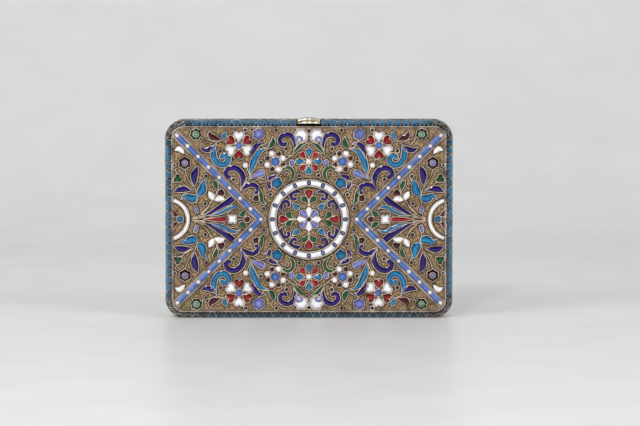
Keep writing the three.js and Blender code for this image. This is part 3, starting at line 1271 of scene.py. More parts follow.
    @staticmethod
    def add_big_leaves(made: Design) -> None:
        """Add the long leaves and the bud beside the heart flower, and the small ones towards the corner."""
        made.add(
            leaf(
                Enamel.TURQUOISE,
                (22.3, 16.4), (21.6, 20.5), (20.2, 24.2), (18.0, 26.5), (15.4, 26.9),
                width=2.4,
            ),
            leaf(Enamel.COBALT, (21.9, 23.0), (21.0, 26.8), (19.0, 28.8), (16.2, 28.9), width=2.0),
            leaf(Enamel.GREEN, (16.0, 27.4), (14.5, 28.2), (13.6, 30.0), (13.9, 32.0), width=1.9),
            Stroke(Enamel.LAVENDER, ((22.9, 15.5), (19.9, 16.9), (16.8, 18.3)), (0.1, 1.5, 2.7, 2.9)),
            lobed(Enamel.LAVENDER, (19.3, 32.6), 2.45, 6, depth=0.2),
            scroll(
                Enamel.TURQUOISE,
                (35.3, 29.3), (36.4, 26.7), (36.3, 23.6), (34.6, 21.3), (32.2, 21.0),
                (30.8, 22.7), (31.7, 24.5), (33.2, 24.1), (33.1, 23.0),
                width=2.2,
            ),
            leaf(Enamel.COBALT, (35.2, 28.7), (37.8, 26.9), (40.1, 26.6), (41.9, 27.9), width=2.0),
            dot(Enamel.MAROON, (33.9, 26.3), 0.9),
            leaf(Enamel.MAROON, (33.3, 30.1), (35.9, 30.9), (37.7, 32.2), (38.1, 34.4), width=2.3),
            leaf(Enamel.TURQUOISE, (32.9, 30.2), (32.4, 31.9), (31.7, 33.7), width=1.8),
        )
        made.stem((33.3, 30.1), (37.3, 30.2), (41.0, 31.4))
        made.stem((31.2, 29.9), (32.4, 29.9), (33.4, 30.1))
        made.stem((16.0, 27.4), (17.4, 27.7), (18.9, 30.2))
        made.stem((22.4, 16.2), (23.6, 19.4), (25.4, 22.8), (27.4, 22.5))
        made.stem((40.9, 31.0), (39.6, 29.3), (38.6, 28.4))

    @staticmethod
    def add_band_scrolls(made: Design) -> None:
        """Add the scrolls that spring from the band, and what fills the angle towards the ring."""
        made.add(
            scroll(
                Enamel.COBALT,
                (26.4, 11.4), (25.1, 14.4), (25.9, 17.7), (28.3, 19.6),
                (30.9, 19.2), (31.9, 17.4), (30.9, 16.2), (29.8, 16.8),
                width=2.1,
            ),
            scroll(
                Enamel.COBALT,
                (26.2, 10.7), (23.6, 12.9), (21.1, 13.1), (19.4, 11.6), (19.9, 10.2), (21.0, 10.7),
                width=1.8,
            ),
            leaf(Enamel.GREEN, (18.9, 12.7), (18.4, 9.6), (18.1, 7.4), (17.0, 5.9), (15.9, 6.4), width=1.6),
            lobed(Enamel.MAROON, (20.2, 8.1), 1.5, 3, depth=0.16),
            lobed(Enamel.TURQUOISE, (12.3, 13.9), 2.45, 5, depth=0.22, start=118),
            Stroke(Enamel.COBALT, ((15.8, 15.5), (13.9, 16.2), (11.7, 17.4)), (1.5, 2.1, 1.5, 0.1)),
            Stroke(Enamel.COBALT, ((16.0, 14.7), (15.2, 13.0), (15.0, 10.9)), (1.5, 2.0, 1.5, 0.1)),
            scroll(
                Enamel.GREEN,
                (7.8, 14.4), (6.2, 16.3), (6.1, 18.3), (7.6, 19.9), (9.5, 19.6), (9.8, 18.4),
                width=1.3,
            ),
        )
        made.stem((24.4, 13.6), (23.4, 14.6), (22.6, 15.6))
        made.stem((25.0, 13.4), (24.0, 15.5), (22.5, 16.6))
        made.stem((21.6, 14.4), (18.6, 15.6), (16.0, 14.6), (15.2, 13.2))
        made.stem((12.6, 16.4), (10.9, 18.1), (9.7, 20.6))
        made.stem((9.2, 16.6), (9.0, 18.0), (8.0, 17.9))
        made.stem((18.4, 12.6), (17.2, 13.4), (16.4, 12.6))

    @staticmethod
    def heart_flower(middle: Point) -> list[Cell]:
        """The flower of six heart-shaped petals, white and red in turn."""
        petals = []
        for turn in range(6):
            red = turn % 2 == 0
            way = 30.0 + 60.0 * turn
            petals.append(
                heart(Enamel.RED if red else Enamel.WHITE, middle, way, 1.1, 5.4, 4.1 if red else 4.5)
            )
        return [*petals, lobed(Enamel.CORNFLOWER, middle, 1.75, 6, depth=0.2)]

    @staticmethod
    def ball_flower(middle: Point) -> list[Cell]:
        """The flower of eight round petals, white and maroon in turn."""
        balls = [
            dot(Enamel.WHITE if turn % 2 else Enamel.MAROON, out_from(middle, 22.5 + 45 * turn, 3.25), 1.15)
            for turn in range(8)
        ]
        return [*balls, lobed(Enamel.CORNFLOWER, middle, 1.9, 8, depth=0.1)]

    @staticmethod
    def rosette(middle: Point) -> list[Cell]:
        """The green rosette in the corner, with its pale middle."""
        return [
            lobed(Enamel.GREEN, middle, 2.45, 7, depth=0.18),
            Patch(Enamel.PALE_GREEN, around(middle, 12, lambda _: 1.15), rise=0.42),
        ]

    def side_group(self) -> Design:
        """What lies in a quarter of the face beyond the band, towards the end of the case."""
        made = Design()
        self.add_side_corner(made)
        self.add_side_spray(made)
        self.add_fan(made)
        return made

    @staticmethod
    def add_side_corner(made: Design) -> None:
        """Add the crescent, the rosette and the trefoil along the end of the case."""
        made.add(
            Stroke(Enamel.WHITE, ((51.4, 26.3), (49.6, 27.0), (47.7, 25.2)), (0.1, 1.5, 2.2, 1.5, 0.1)),
            lobed(Enamel.MAROON, (47.5, 21.6), 2.55, 6, depth=0.16),
            Patch(Enamel.LAVENDER, around((47.5, 21.6), 12, lambda _: 1.1), rise=0.42),
            dot(Enamel.AUBERGINE, (51.5, 20.7), 0.75),
            dot(Enamel.AUBERGINE, (39.4, 16.6), 0.85),
            lobed(Enamel.GREEN, (50.3, 15.6), 1.95, 3, depth=0.42),
            leaf(Enamel.COBALT, (42.4, 20.9), (43.8, 17.0), (43.7, 12.4), width=2.6),
            leaf(Enamel.COBALT, (52.0, 10.3), (48.8, 11.6), (44.8, 11.0), width=2.3),
        )
        made.stem((47.5, 19.1), (46.2, 15.4), (44.0, 12.2))
        made.stem((44.4, 11.4), (47.4, 13.0), (49.2, 14.6))
        made.stem((50.4, 17.6), (51.3, 19.0), (50.0, 19.8))
        made.stem((45.0, 24.4), (46.0, 26.2), (48.0, 28.6))

    @staticmethod
    def add_side_spray(made: Design) -> None:
        """Add the winged blue leaves and the bud between the band and the end."""
        made.add(
            Stroke(
                Enamel.TURQUOISE,
                ((38.9, 15.4), (40.5, 13.8), (40.8, 11.4), (42.6, 8.9)),
                (0.1, 1.7, 3.1, 3.4, 1.5),
            ),
            Stroke(
                Enamel.TURQUOISE,
                ((49.3, 7.4), (47.4, 8.8), (45.0, 7.9), (42.4, 8.5)),
                (0.1, 1.6, 3.0, 3.3, 1.5),
            ),
            Patch(Enamel.LAVENDER, oval((43.2, 3.7), 75, 3.0, 1.7)),
            dot(Enamel.AUBERGINE, (39.8, 6.0), 0.85),
            leaf(Enamel.WHITE, (36.4, 7.4), (37.4, 9.0), (38.4, 10.8), width=2.1),
            leaf(Enamel.WHITE, (36.2, 7.2), (34.2, 7.9), (32.2, 7.5), width=2.1),
            lobed(Enamel.MAROON, (33.6, 10.1), 1.6, 3, depth=0.16),
            leaf(Enamel.GREEN, (37.1, 15.3), (35.8, 13.2), (35.3, 10.6), width=1.7),
        )
        made.stem((43.3, 5.2), (42.9, 8.6), (43.7, 12.0))
        made.stem((35.3, 10.6), (36.0, 8.8), (38.6, 5.0), (41.4, 2.2))
        made.stem((34.8, 9.0), (35.4, 8.4), (36.2, 7.8))

    @staticmethod
    def add_fan(made: Design) -> None:
        """Add the long leaves that fan out from the end towards the band, and those in the part ring."""
        made.add(
            Stroke(
                Enamel.COBALT,
                ((41.2, 0.9), (36.5, 3.0), (31.8, 5.9), (28.1, 9.0)),
                (0.1, 1.5, 2.5, 2.7, 2.6),
            ),
            leaf(
                Enamel.TURQUOISE,
                (38.4, 1.2), (34.2, 2.6), (30.6, 4.3), (28.0, 4.8), (26.0, 3.6),
                width=1.7,
            ),
            leaf(Enamel.GREEN, (27.1, 1.3), (25.4, 2.0), (24.0, 3.7), width=1.9),
            leaf(Enamel.MAROON, (49.9, 1.4), (51.6, 2.0), (52.2, 4.2), width=1.7),
        )
        for rise in (0.5, 1.0, 1.6):
            made.stem((44.9, 0.1), (42.6, rise * 0.8), (39.8, rise * 1.3))
        made.stem((44.9, 0.2), (43.9, 1.2), (43.4, 2.3))
        made.stem((31.2, 1.2), (30.9, 2.6), (28.6, 3.2), (27.2, 2.6))
        made.stem((41.6, 1.6), (38.8, 4.2), (37.6, 7.0))

    def side_axis(self) -> Design:
        """What lies on the middle line beyond the band."""
        made = Design()
        made.add(
            Stroke(Enamel.RED, ((40.4, 0), (35.6, 0), (31.2, 0)), (0.1, 1.3, 1.9, 1.9)),
            lobed(Enamel.WHITE, (29.3, 0), 2.1, 4, depth=0.36, start=45),
            dot(Enamel.MAROON, (23.7, 0), 1.3),
            dot(Enamel.TURQUOISE, (49.4, 0), 1.4),
            dot(Enamel.AUBERGINE, (44.9, 0), 0.5),
        )
        made.stem((27.3, 0), (25.2, 0))
        return made


class FaceWork:
    """The raised and enamelled work of one face."""

    def __init__(self, half: Half, finishes: Finishes) -> None:
        """Take the face's half and the finishes.

        Args:
            half: The half whose face it is.
            finishes: The finishes.
        """
        self.half = half
        self.finishes = finishes
        self.pattern = FacePattern()
        self.work = EnamelWork(f"{half.label}_face", FaceGround(half), finishes, finishes.wire, 3.5)
        self.chance = random.Random(7 if half is Half.FRONT else 11)

    def build(self) -> None:
        """Lay everything and make the pieces."""
        self.lay_flowers()
        self.lay_ring()
        self.lay_side_rings()
        self.lay_bands()
        self.lay_frame()
        self.work.finish()

    def lay_flowers(self) -> None:
        """Lay the flowers and scrolls, turned over into the four quarters; the back has fewer of them."""
        pattern, shake = self.pattern, self.pattern.axis_shake
        self.work.take(pattern.medallion())
        if self.half is Half.FRONT:
            groups = (pattern.top_group(), pattern.side_group())
        else:
            groups = (pattern.plainer_group(),)
        for up in (-1, 1):
            self.work.take(pattern.flower_on_axis().mirrored(1, up, self.chance, shake))
            for across in (-1, 1):
                for group in groups:
                    self.work.take(group.mirrored(across, up, self.chance))
        for across in (-1, 1):
            self.work.take(pattern.side_axis().mirrored(across, 1, self.chance, shake))

    def lay_ring(self) -> None:
        """Lay the white ring round the medallion and its dots."""
        pattern = self.pattern
        middle = (pattern.ring_outer + pattern.ring_inner) / 2
        spine = around((0, 0), 72, lambda _: middle)
        width = pattern.ring_outer - pattern.ring_inner - pattern.wire_room
        ring = Stroke(Enamel.WHITE, (*spine, spine[0]), (width,), 0.5, False, False, section_of(0.86, 0.85))
        self.work.lay(ring)
        for radius in (pattern.ring_inner, pattern.ring_outer):
            self.work.bend(flat(around((0, 0), 72, lambda _, r=radius: r)), 0.17, True, 0.25)
        for i in range(pattern.ring_dots):
            spot = out_from((0, 0), 90 + 360 / pattern.ring_dots * i, middle)
            self.work.lay(Patch(Enamel.SLATE, around(spot, 14, lambda _: 0.98), 0.1, False), 0.46)
            self.work.lay(Patch(Enamel.LAVENDER, around(spot, 10, lambda _: 0.52), 0.16, False), 0.5)

    def lay_side_rings(self) -> None:
        """Lay the parts of rings that stand on the face's ends."""
        pattern = self.pattern
        middle = pattern.side_ring_outer - pattern.side_ring_width / 2
        reach = math.degrees(math.acos((pattern.side_ring_centre - pattern.panel_half + 0.7) / middle))
        width = pattern.side_ring_width - pattern.wire_room
        for side in (-1, 1):
            centre = (side * pattern.side_ring_centre, 0.0)
            inward = 180.0 if side > 0 else 0.0
            turns = [inward - reach + reach / 12 * i for i in range(25)]
            spine = tuple(out_from(centre, turn, middle) for turn in turns)
            self.work.lay(Stroke(Enamel.WHITE, spine, (width,), 0.45, False, False))
            for radius in (middle - width / 2, middle + width / 2):
                arc = [out_from(centre, turn, radius) for turn in turns]
                self.work.bend(flat(arc), 0.16, False, 0.25)

    def lay_bands(self) -> None:
        """Lay the two pointed bands with their beads."""
        pattern = self.pattern
        section = section_of(0.9, 0.8)
        reach = pattern.bead_pitch * (pattern.band_beads + 0.16) * math.sqrt(0.5)
        for side in (-1, 1):
            point = (side * pattern.band_point, 0.0)
            ends = [(point[0] + side * reach, way * reach) for way in (-1, 1)]
            line = (ends[0], point, ends[1])
            self.work.lay(Stroke(Enamel.CORNFLOWER, line, (2.3,), 0.5, False, False, section))
            for width, radius in ((2.45, 0.19), (3.3, 0.13)):
                border = Stroke(Enamel.NAVY, line, (width,), 0.3, False, False, section)
                self.work.bend(border.outline(), radius, True, 0.22)
            step = 1 if self.half is Half.FRONT else pattern.band_beads // 2
            for i in range(-pattern.band_beads, pattern.band_beads + 1, step):
                along = abs(i) * pattern.bead_pitch * math.sqrt(0.5)
                spot = (point[0] + side * along, math.copysign(along, i))
                bead = Patch(Enamel.WHITE, around(spot, 12, lambda _: pattern.bead_radius), rise=0.5)
                self.work.lay(bead, 0.4, 0.12)

    def lay_frame(self) -> None:
        """Bend the wires that frame the panel."""
        for inset, radius in ((0.12, 0.12), (0.62, 0.08)):
            line = rounded_outline(CASE.edge_inset + inset, 8)
            flat_line = [Vector((x, y - CASE.height / 2)) for x, y in line]
            self.work.bend(flat_line, radius, True, 0.08)


def rounded_outline(inset: float, corner_steps: int) -> list[Point]:
    """The case's outline from in front, taken in by an inset, clockwise from the upper left.

    Args:
        inset: How far it is taken in, in millimetres.
        corner_steps: Steps in each corner.

    Returns:
        The outline's points across and up.
    """
    radius = CASE.corner_radius - inset
    x, low, high = CASE.straight_half, CASE.corner_radius, CASE.height - CASE.corner_radius
    points = []
    for i, (cx, cy) in enumerate(((x, high), (x, low), (-x, low), (-x, high))):
        for step in range(corner_steps + 1):
            turn = (i + step / corner_steps) * math.pi / 2
            points.append((cx + radius * math.sin(turn), cy + radius * math.cos(turn)))
    return points


@dataclass(frozen=True)
class TrellisPlan:
    """The trellis of blue lens-shaped cells round a rounded edge, with smoky cells at its corners."""

    low: float = 0.06
    high: float = 4.36
    knot: float = 2.2
    knot_radius: float = 0.17
    cell_width: float = 4.05
    border_radius: float = 0.11
    wire_radius: float = 0.085
    smoky: tuple[int, ...] = (31, 32, 33, 54, 55, 56, 57, 85, 86, 87, 88, 89, 90, 111, 112, 113)
    # The darker cells: the whole bottom run as painted shade, and the cells beside the corners.
    dusky_and_shaded: tuple[int, ...] = (0, 30, 34, 53, *range(58, 85), 91, 110)
    notched: tuple[int, ...] = (14, 15, 16)
    lens: tuple[float, ...] = (0.08, 0.66, 0.96, 1.0, 1.0, 1.0, 0.96, 0.66, 0.08)
    section: tuple[Point, ...] = (
        (-1, 0),
        (-0.78, 0.7),
        (-0.4, 0.95),
        (0, 1),
        (0.4, 0.95),
        (0.78, 0.7),
        (1, 0),
    )


class TrellisWork:
    """The enamelled trellis of one half's rounded edge."""

    def __init__(self, half: Half, finishes: Finishes) -> None:
        """Take the edge's half and the finishes.

        Args:
            half: The half whose edge it is.
            finishes: The finishes.
        """
        self.half = half
        self.plan = TrellisPlan()
        self.ground = EdgeGround(half)
        self.work = EnamelWork(f"{half.label}_edge", self.ground, finishes, finishes.silver_wire, 1.7)
        self.chance = random.Random(3 if half is Half.FRONT else 5)

    def left_out(self, cell: int) -> bool:
        """Whether a cell is cut away by the thumb-piece's notch."""
        return self.half is Half.FRONT and cell in self.plan.notched

    def colour_of(self, cell: int) -> Enamel:
        """The enamel of one cell."""
        if cell in self.plan.smoky:
            return Enamel.SMOKE
        # The bottom run takes the darker blue as painted shade.
        return Enamel.DUSK if cell in self.plan.dusky_and_shaded else Enamel.TRELLIS

    def build(self) -> None:
        """Lay the cells, knots and borders and make the pieces."""
        plan, pitch = self.plan, self.ground.pitch
        for cell in range(self.ground.cells):
            if self.left_out(cell):
                continue
            shift = self.chance.uniform(-0.08, 0.08)
            start, middle, end = ((cell + share) * pitch for share in (0.03, 0.5, 0.97))
            width = plan.cell_width * self.chance.uniform(0.96, 1.03)
            spine = ((start, plan.knot), (middle, plan.knot + shift), (end, plan.knot))
            widths = tuple(width * share for share in plan.lens)
            lens = Stroke(self.colour_of(cell), spine, widths, 0.24, section=plan.section)
            self.work.lay(lens, 0.0, plan.wire_radius)
            if cell in plan.smoky:
                inner = tuple(width * share * 0.5 for share in plan.lens)
                line = ((start + 0.5, plan.knot), (middle, plan.knot + shift), (end - 0.5, plan.knot))
                self.work.bend(Stroke(Enamel.SMOKE, line, inner).outline(), 0.11, True, 0.2)
            if not self.left_out((cell - 1) % self.ground.cells):
                knot = (cell * pitch, plan.knot)
                self.work.lay(dot(Enamel.WHITE, knot, plan.knot_radius), 0.1, 0.13)
        self.lay_borders()
        self.work.finish()

    def lay_borders(self) -> None:
        """Bend the wires along both sides of the trellis, open where the notch is."""
        plan, ground = self.plan, self.ground
        first, count = 0.0, ground.cells
        if self.half is Half.FRONT:
            first = plan.notched[-1] + 1.0
            count = ground.cells - len(plan.notched)
        for height in (plan.low, plan.high):
            line = [Vector(((first + i / 3) * ground.pitch, height)) for i in range(count * 3 + 1)]
            self.work.bend(line, plan.border_radius, False, 0.05)


def translate_depth(bm: bmesh.types.BMesh, verts: Sequence[bmesh.types.BMVert], depth: float) -> None:
    """Move points along Y by a depth in millimetres."""
    bmesh.ops.translate(bm, vec=(0, depth, 0), verts=list(verts))


def plate_of(outline: Sequence[Point], depth: float) -> tuple[bmesh.types.BMesh, bmesh.types.BMFace]:
    """One upright face with a given outline, in a new bmesh.

    Args:
        outline: Its points across and up, in millimetres.
        depth: Its place along Y.

    Returns:
        The bmesh and the face.
    """
    bm = bmesh.new()
    face = bm.faces.new([bm.verts.new((x, depth, z)) for x, z in outline])
    return bm, face


def drawn_out(bm: bmesh.types.BMesh, face: bmesh.types.BMFace, way: Vector) -> bmesh.types.BMFace:
    """Extrude a face along a vector, in millimetres.

    A face of a solid goes away as it is drawn out, and a loose face stays as the solid's other end.

    Args:
        bm: The bmesh that it is in.
        face: The face.
        way: How far the new face is moved.

    Returns:
        The new face at the end.
    """
    grown = bmesh.ops.extrude_face_region(bm, geom=[face])["geom"]
    end = next(item for item in grown if isinstance(item, bmesh.types.BMFace))
    bmesh.ops.translate(bm, vec=way, verts=end.verts)
    if all(len(edge.link_faces) > 2 for edge in face.edges):
        bmesh.ops.delete(bm, geom=[face], context="FACES_ONLY")
    return end


def taken_in(bm: bmesh.types.BMesh, face: bmesh.types.BMFace, inset: float) -> list[bmesh.types.BMFace]:
    """Take a face in from its border.

    Args:
        bm: The bmesh that it is in.
        face: The face.
        inset: How far it is taken in, in millimetres.

    Returns:
        The new faces round it.
    """
    return bmesh.ops.inset_region(bm, faces=[face], thickness=inset, use_even_offset=True)["faces"]


def soften(bm: bmesh.types.BMesh, edges: Sequence[bmesh.types.BMEdge], offset: float) -> None:
    """Bevel edges by an offset in the bmesh's own unit."""
    bmesh.ops.bevel(
        bm,
        geom=edges,
        offset=offset,
        offset_type="OFFSET",
        segments=2,
        profile=0.5,
        affect="EDGES",
        material=-1,
    )


def rod(radius: float, start: float, end: float, sides: int = 40) -> bmesh.types.BMesh:
    """A rod on the hinge's axis between two places along the case, in millimetres."""
    bm = bmesh.new()
    turn = Matrix.Rotation(math.pi / 2, 4, "Y")
    place = Matrix.Translation(((start + end) / 2, 0, CASE.hinge_height)) @ turn
    bmesh.ops.create_cone(
        bm,
        cap_ends=True,
        segments=sides,
        radius1=radius,
        radius2=radius,
        depth=end - start,
        matrix=place,
    )
    return bm


def in_metres(bm: bmesh.types.BMesh) -> bmesh.types.BMesh:
    """The same bmesh made metres from millimetres, with its faces outwards."""
    bmesh.ops.remove_doubles(bm, verts=bm.verts[:], dist=1e-4)
    bmesh.ops.recalc_face_normals(bm, faces=bm.faces[:])
    bmesh.ops.scale(bm, vec=(MM, MM, MM), verts=bm.verts[:])
    return bm


def carved(
    bm: bmesh.types.BMesh,
    tools: Sequence[tuple[str, bmesh.types.BMesh]],
    finish_count: int = 1,
) -> bmesh.types.BMesh:
    """A solid after other solids have been cut out of it, or it has been kept only inside them.

    Args:
        bm: The solid in metres, which is freed.
        tools: Blender's name for each cut, with its solid in metres, which is freed too.
        finish_count: How many finishes the solid's faces are numbered for.

    Returns:
        The new solid.
    """
    holder = bpy.data.objects.new("stock", bpy.data.meshes.new("stock"))
    for _ in range(finish_count):
        holder.data.materials.append(bpy.data.materials.new("unfinished"))
    bm.to_mesh(holder.data)
    bm.free()
    bpy.context.scene.collection.objects.link(holder)
    cutters = []
    for kind, tool in tools:
        cutter = bpy.data.objects.new("cutter", bpy.data.meshes.new("cutter"))
        tool.to_mesh(cutter.data)
        tool.free()
        bpy.context.scene.collection.objects.link(cutter)
        cut = holder.modifiers.new(kind, "BOOLEAN")
        cut.operation = kind
        cut.solver = "EXACT"
        cut.object = cutter
        cutters.append(cutter)
    bpy.context.view_layer.update()
    result = bpy.data.meshes.new_from_object(holder.evaluated_get(bpy.context.evaluated_depsgraph_get()))
    made = bmesh.new()
    made.from_mesh(result)
    bpy.data.meshes.remove(result)
    blanks = set(holder.data.materials)
    for item in (holder, *cutters):
        mesh = item.data
        bpy.data.objects.remove(item)
        bpy.data.meshes.remove(mesh)
    for blank in blanks:
        bpy.data.materials.remove(blank)
    return made


@dataclass(frozen=True)
class HalfShell:
    """The shell of one half: a flat face in a rounded edge, hollow, with a channel for the hinge."""

    half: Half
    leans: tuple[float, ...] = (90.0, 82.0, 74.0, 66.0, 57.0, 48.0, 39.0, 30.0, 21.0, 12.0, 4.0, 0.0)
    enamelled_from: float = 82.0
    corner_steps: int = 12
    field_margin: float = 0.3
    notch_half: float = 4.8
    notch_floor: float = 73.5
    notch_back: float = 1.3
    clear_above: float = 10.0

    def rounded(self, bm: bmesh.types.BMesh, face: bmesh.types.BMFace, outside: bool) -> None:
        """Round an edge off inwards and outwards from the joint, up to the flat field.

        Args:
            bm: The bmesh.
            face: The face at the start of the rounding.
            outside: Whether it is the outer surface, which gets the enamel's slots.
        """
        way = self.half.way
        for before, after in zip(self.leans, self.leans[1:]):
            first, second = math.radians(before), math.radians(after)
            inward = CASE.edge_inset * (math.sin(first) - math.sin(second))
            outward = CASE.edge_depth * (math.cos(second) - math.cos(first))
            ring = taken_in(bm, face, inward)
            translate_depth(bm, face.verts, way * outward)
            if outside and before <= self.enamelled_from:
                for strip in ring:
                    strip.material_index = 2
        field = taken_in(bm, face, self.field_margin)
        if outside:
            for part in (face, *field):
                part.material_index = 1

    def solid(self, hollow: bool) -> bmesh.types.BMesh:
        """The half as a solid in metres.

        Args:
            hollow: Whether it is hollowed out to the wall's thickness.

        Returns:
            The solid.
        """
        way = self.half.way
        straight = CASE.half_thickness - CASE.edge_depth
        bm, rim = plate_of(rounded_outline(0.0, self.corner_steps), way * CASE.rim)
        end = drawn_out(bm, rim, Vector((0, way * (straight - CASE.rim), 0)))
        self.rounded(bm, end, True)
        if hollow:
            taken_in(bm, rim, CASE.wall)
            floor = drawn_out(bm, rim, Vector((0, way * (straight - CASE.wall - CASE.rim), 0)))
            self.rounded(bm, floor, False)
        return in_metres(bm)

    def channel(self) -> list[tuple[str, bmesh.types.BMesh]]:
        """The cuts that make room for the hinge."""
        way, reach = self.half.way, 2 * CASE.channel_half_width
        fall = CASE.hinge_height / CASE.channel_half_width
        section = (
            (0, CASE.hinge_height),
            (0, -reach),
            (reach, -reach),
            (reach, CASE.hinge_height - reach * fall),
        )
        bm = bmesh.new()
        start = bm.faces.new([bm.verts.new((-CASE.channel_half, way * d, z)) for d, z in section])
        drawn_out(bm, start, Vector((2 * CASE.channel_half, 0, 0)))
        round_cut = rod(CASE.bearer_inner, -CASE.channel_half, CASE.channel_half)
        return [("DIFFERENCE", in_metres(bm)), ("DIFFERENCE", in_metres(round_cut))]

    def notch(self) -> bmesh.types.BMesh:
        """The block that is cut out for the thumb-piece."""
        half, low, high = self.notch_half, self.notch_floor, self.notch_floor + self.clear_above
        bm, face = plate_of(((-half, low), (half, low), (half, high), (-half, high)), -self.notch_back)
        drawn_out(bm, face, Vector((0, -CASE.half_thickness * 2, 0)))
        # The notch's walls take the navy enamel as painted shade in the gap beside the thumb-piece.
        for side in bm.faces:
            side.material_index = 2
        return in_metres(bm)

    def build(self, finishes: Finishes) -> None:
        """Make the shell and put it in place of the CAD one."""
        cuts = self.channel()
        if self.half is Half.FRONT:
            cuts.append(("DIFFERENCE", self.notch()))
        bm = carved(self.solid(True), cuts, 3)
        half = self.half
        shell = finish_piece(f"{half.label}_shell", bm, finishes.plain, half.value)
        # Slot 2 is the navy of the trellis's gaps, and painted shade on the notch's walls.
        for extra in (finishes.ground, finishes.enamel[Enamel.NAVY]):
            shell.data.materials.append(extra)
        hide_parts(self.half.node)


@dataclass(frozen=True)
class Hinge:
    """The hinge along the underside: bearers in the shells, knuckles on each half, and the pin."""

    steps: int = 16
    web_inner: float = 1.0
    web_outer: float = 1.95
    pin_sides: int = 24
    pin_bevel: float = 0.12
    bore_clearance: float = 0.1
    bore_depth: float = 1.2
    top_angle: float = 84.0

    def sector(self, half: Half, inner: float, outer: float, start: float, end: float) -> bmesh.types.BMesh:
        """A part of a tube round the axis, on one half's side and above the channel's slope.

        Args:
            half: The half.
            inner: Its inner radius.
            outer: Its outer radius.
            start: Where it starts along the case.
            end: Where it ends.

        Returns:
            The solid in millimetres.
        """
        bm = bmesh.new()
        low = -math.degrees(math.atan2(CASE.hinge_height, CASE.channel_half_width))
        first = math.radians(self.top_angle)
        ray = Vector((0, half.way * math.cos(first), math.sin(first)))
        centre = Vector((0, 0, CASE.hinge_height))
        verts = [bm.verts.new(centre + ray * radius + Vector((start, 0, 0))) for radius in (inner, outer)]
        edge = bm.edges.new(verts)
        swept = -math.radians(self.top_angle - low) * half.way
        bmesh.ops.spin(
            bm,
            geom=[*verts, edge],
            cent=centre,
            axis=(1, 0, 0),
            angle=swept,
            steps=self.steps,
        )
        grown = bmesh.ops.extrude_face_region(bm, geom=bm.faces[:])["geom"]
        moved = [item for item in grown if isinstance(item, bmesh.types.BMVert)]
        bmesh.ops.translate(bm, vec=(end - start, 0, 0), verts=moved)
        return bm

    def knuckle_places(self, half: Half) -> list[Point]:
        """Where the knuckles of one half start and end along the case."""
        length = (2 * CASE.barrel_half - (CASE.knuckles - 1) * CASE.knuckle_gap) / CASE.knuckles
        first = 1 if half is Half.FRONT else 0
        step = length + CASE.knuckle_gap
        starts = [-CASE.barrel_half + i * step for i in range(first, CASE.knuckles, 2)]
        return [(start, start + length) for start in starts]

    def knuckle(self, start: float, end: float) -> bmesh.types.BMesh:
        """One knuckle with softened edges and the mouths of its bore."""
        bm = rod(CASE.barrel_radius, start, end)
        bm.normal_update()
        caps = [face for face in bm.faces if abs(face.normal.x) > 0.9]
        ring = CASE.barrel_radius - CASE.pin_radius - self.bore_clearance
        bmesh.ops.inset_individual(bm, faces=caps, thickness=ring, use_even_offset=True)
        for cap in caps:
            bmesh.ops.inset_individual(bm, faces=[cap], thickness=0.001)
            inward = -math.copysign(self.bore_depth, cap.normal.x)
            bmesh.ops.translate(bm, vec=(inward, 0, 0), verts=cap.verts)
        return bm

    def build(self, finishes: Finishes) -> None:
        """Make the bearers, the knuckles and the pin."""
        for half in Half:
            bearer = self.sector(
                half,
                CASE.bearer_inner,
                CASE.bearer_outer,
                -CASE.channel_half,
                CASE.channel_half,
            )
            bm = carved(in_metres(bearer), [("INTERSECT", HalfShell(half).solid(False))])
            for face in bm.faces:
                face.material_index = 0
            for start, end in self.knuckle_places(half):
                web = in_metres(self.sector(half, self.web_inner, self.web_outer, start, end))
                for part in (web, in_metres(self.knuckle(start, end))):
                    join_into(bm, part)
            finish_piece(f"{half.label}_hinge", bm, finishes.plain, half.value)
        bm = in_metres(rod(CASE.pin_radius, -CASE.barrel_half, CASE.barrel_half, self.pin_sides))
        rims = [edge for edge in bm.edges if abs(edge.calc_face_angle(0.0)) > 1.0]
        soften(bm, rims, self.pin_bevel * MM)
        piece = finish_piece("hinge_pin_rod", bm, finishes.rubbed, Half.BACK.value)
        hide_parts("hinge_pin")


def join_into(whole: bmesh.types.BMesh, part: bmesh.types.BMesh) -> None:
    """Add one bmesh to another, and free it."""
    mesh = bpy.data.meshes.new("part")
    part.to_mesh(mesh)
    part.free()
    whole.from_mesh(mesh)
    bpy.data.meshes.remove(mesh)


@dataclass(frozen=True)
class InnerLip:
    """The lip inside the back half's rim and the collar that holds it, on three sides."""

    collar_inset: float = 0.7
    lip_inset: float = 1.2
    thickness: float = 0.6
    reach: float = 1.3
    collar_front: float = 0.45
    root: float = 2.4
    foot_height: float = 8.0
    corner_steps: int = 12

    def build(self, finishes: Finishes) -> None:
        """Make the lip."""
        bm, back = plate_of(rounded_outline(self.collar_inset, self.corner_steps), self.root)
        front = drawn_out(bm, back, Vector((0, self.collar_front - self.root, 0)))
        step = self.lip_inset - self.collar_inset
        taken_in(bm, front, step)
        edge = drawn_out(bm, front, Vector((0, -self.collar_front - self.reach, 0)))
        taken_in(bm, edge, self.thickness)
        inside = drawn_out(bm, edge, Vector((0, self.reach + self.root, 0)))
        loops = [*back.edges, *inside.edges]
        bmesh.ops.delete(bm, geom=[back, inside], context="FACES_ONLY")
        bmesh.ops.bridge_loops(bm, edges=loops)
        cut = bmesh.ops.bisect_plane(
            bm,
            geom=[*bm.verts, *bm.edges, *bm.faces],
            plane_co=(0, 0, self.foot_height),
            plane_no=(0, 0, 1),
            clear_inner=True,
        )
        rims = [item for item in cut["geom_cut"] if isinstance(item, bmesh.types.BMEdge)]
        bmesh.ops.holes_fill(bm, edges=rims)
        half = Half.BACK
        finish_piece("back_inner_lip", in_metres(bm), finishes.plain, half.value)


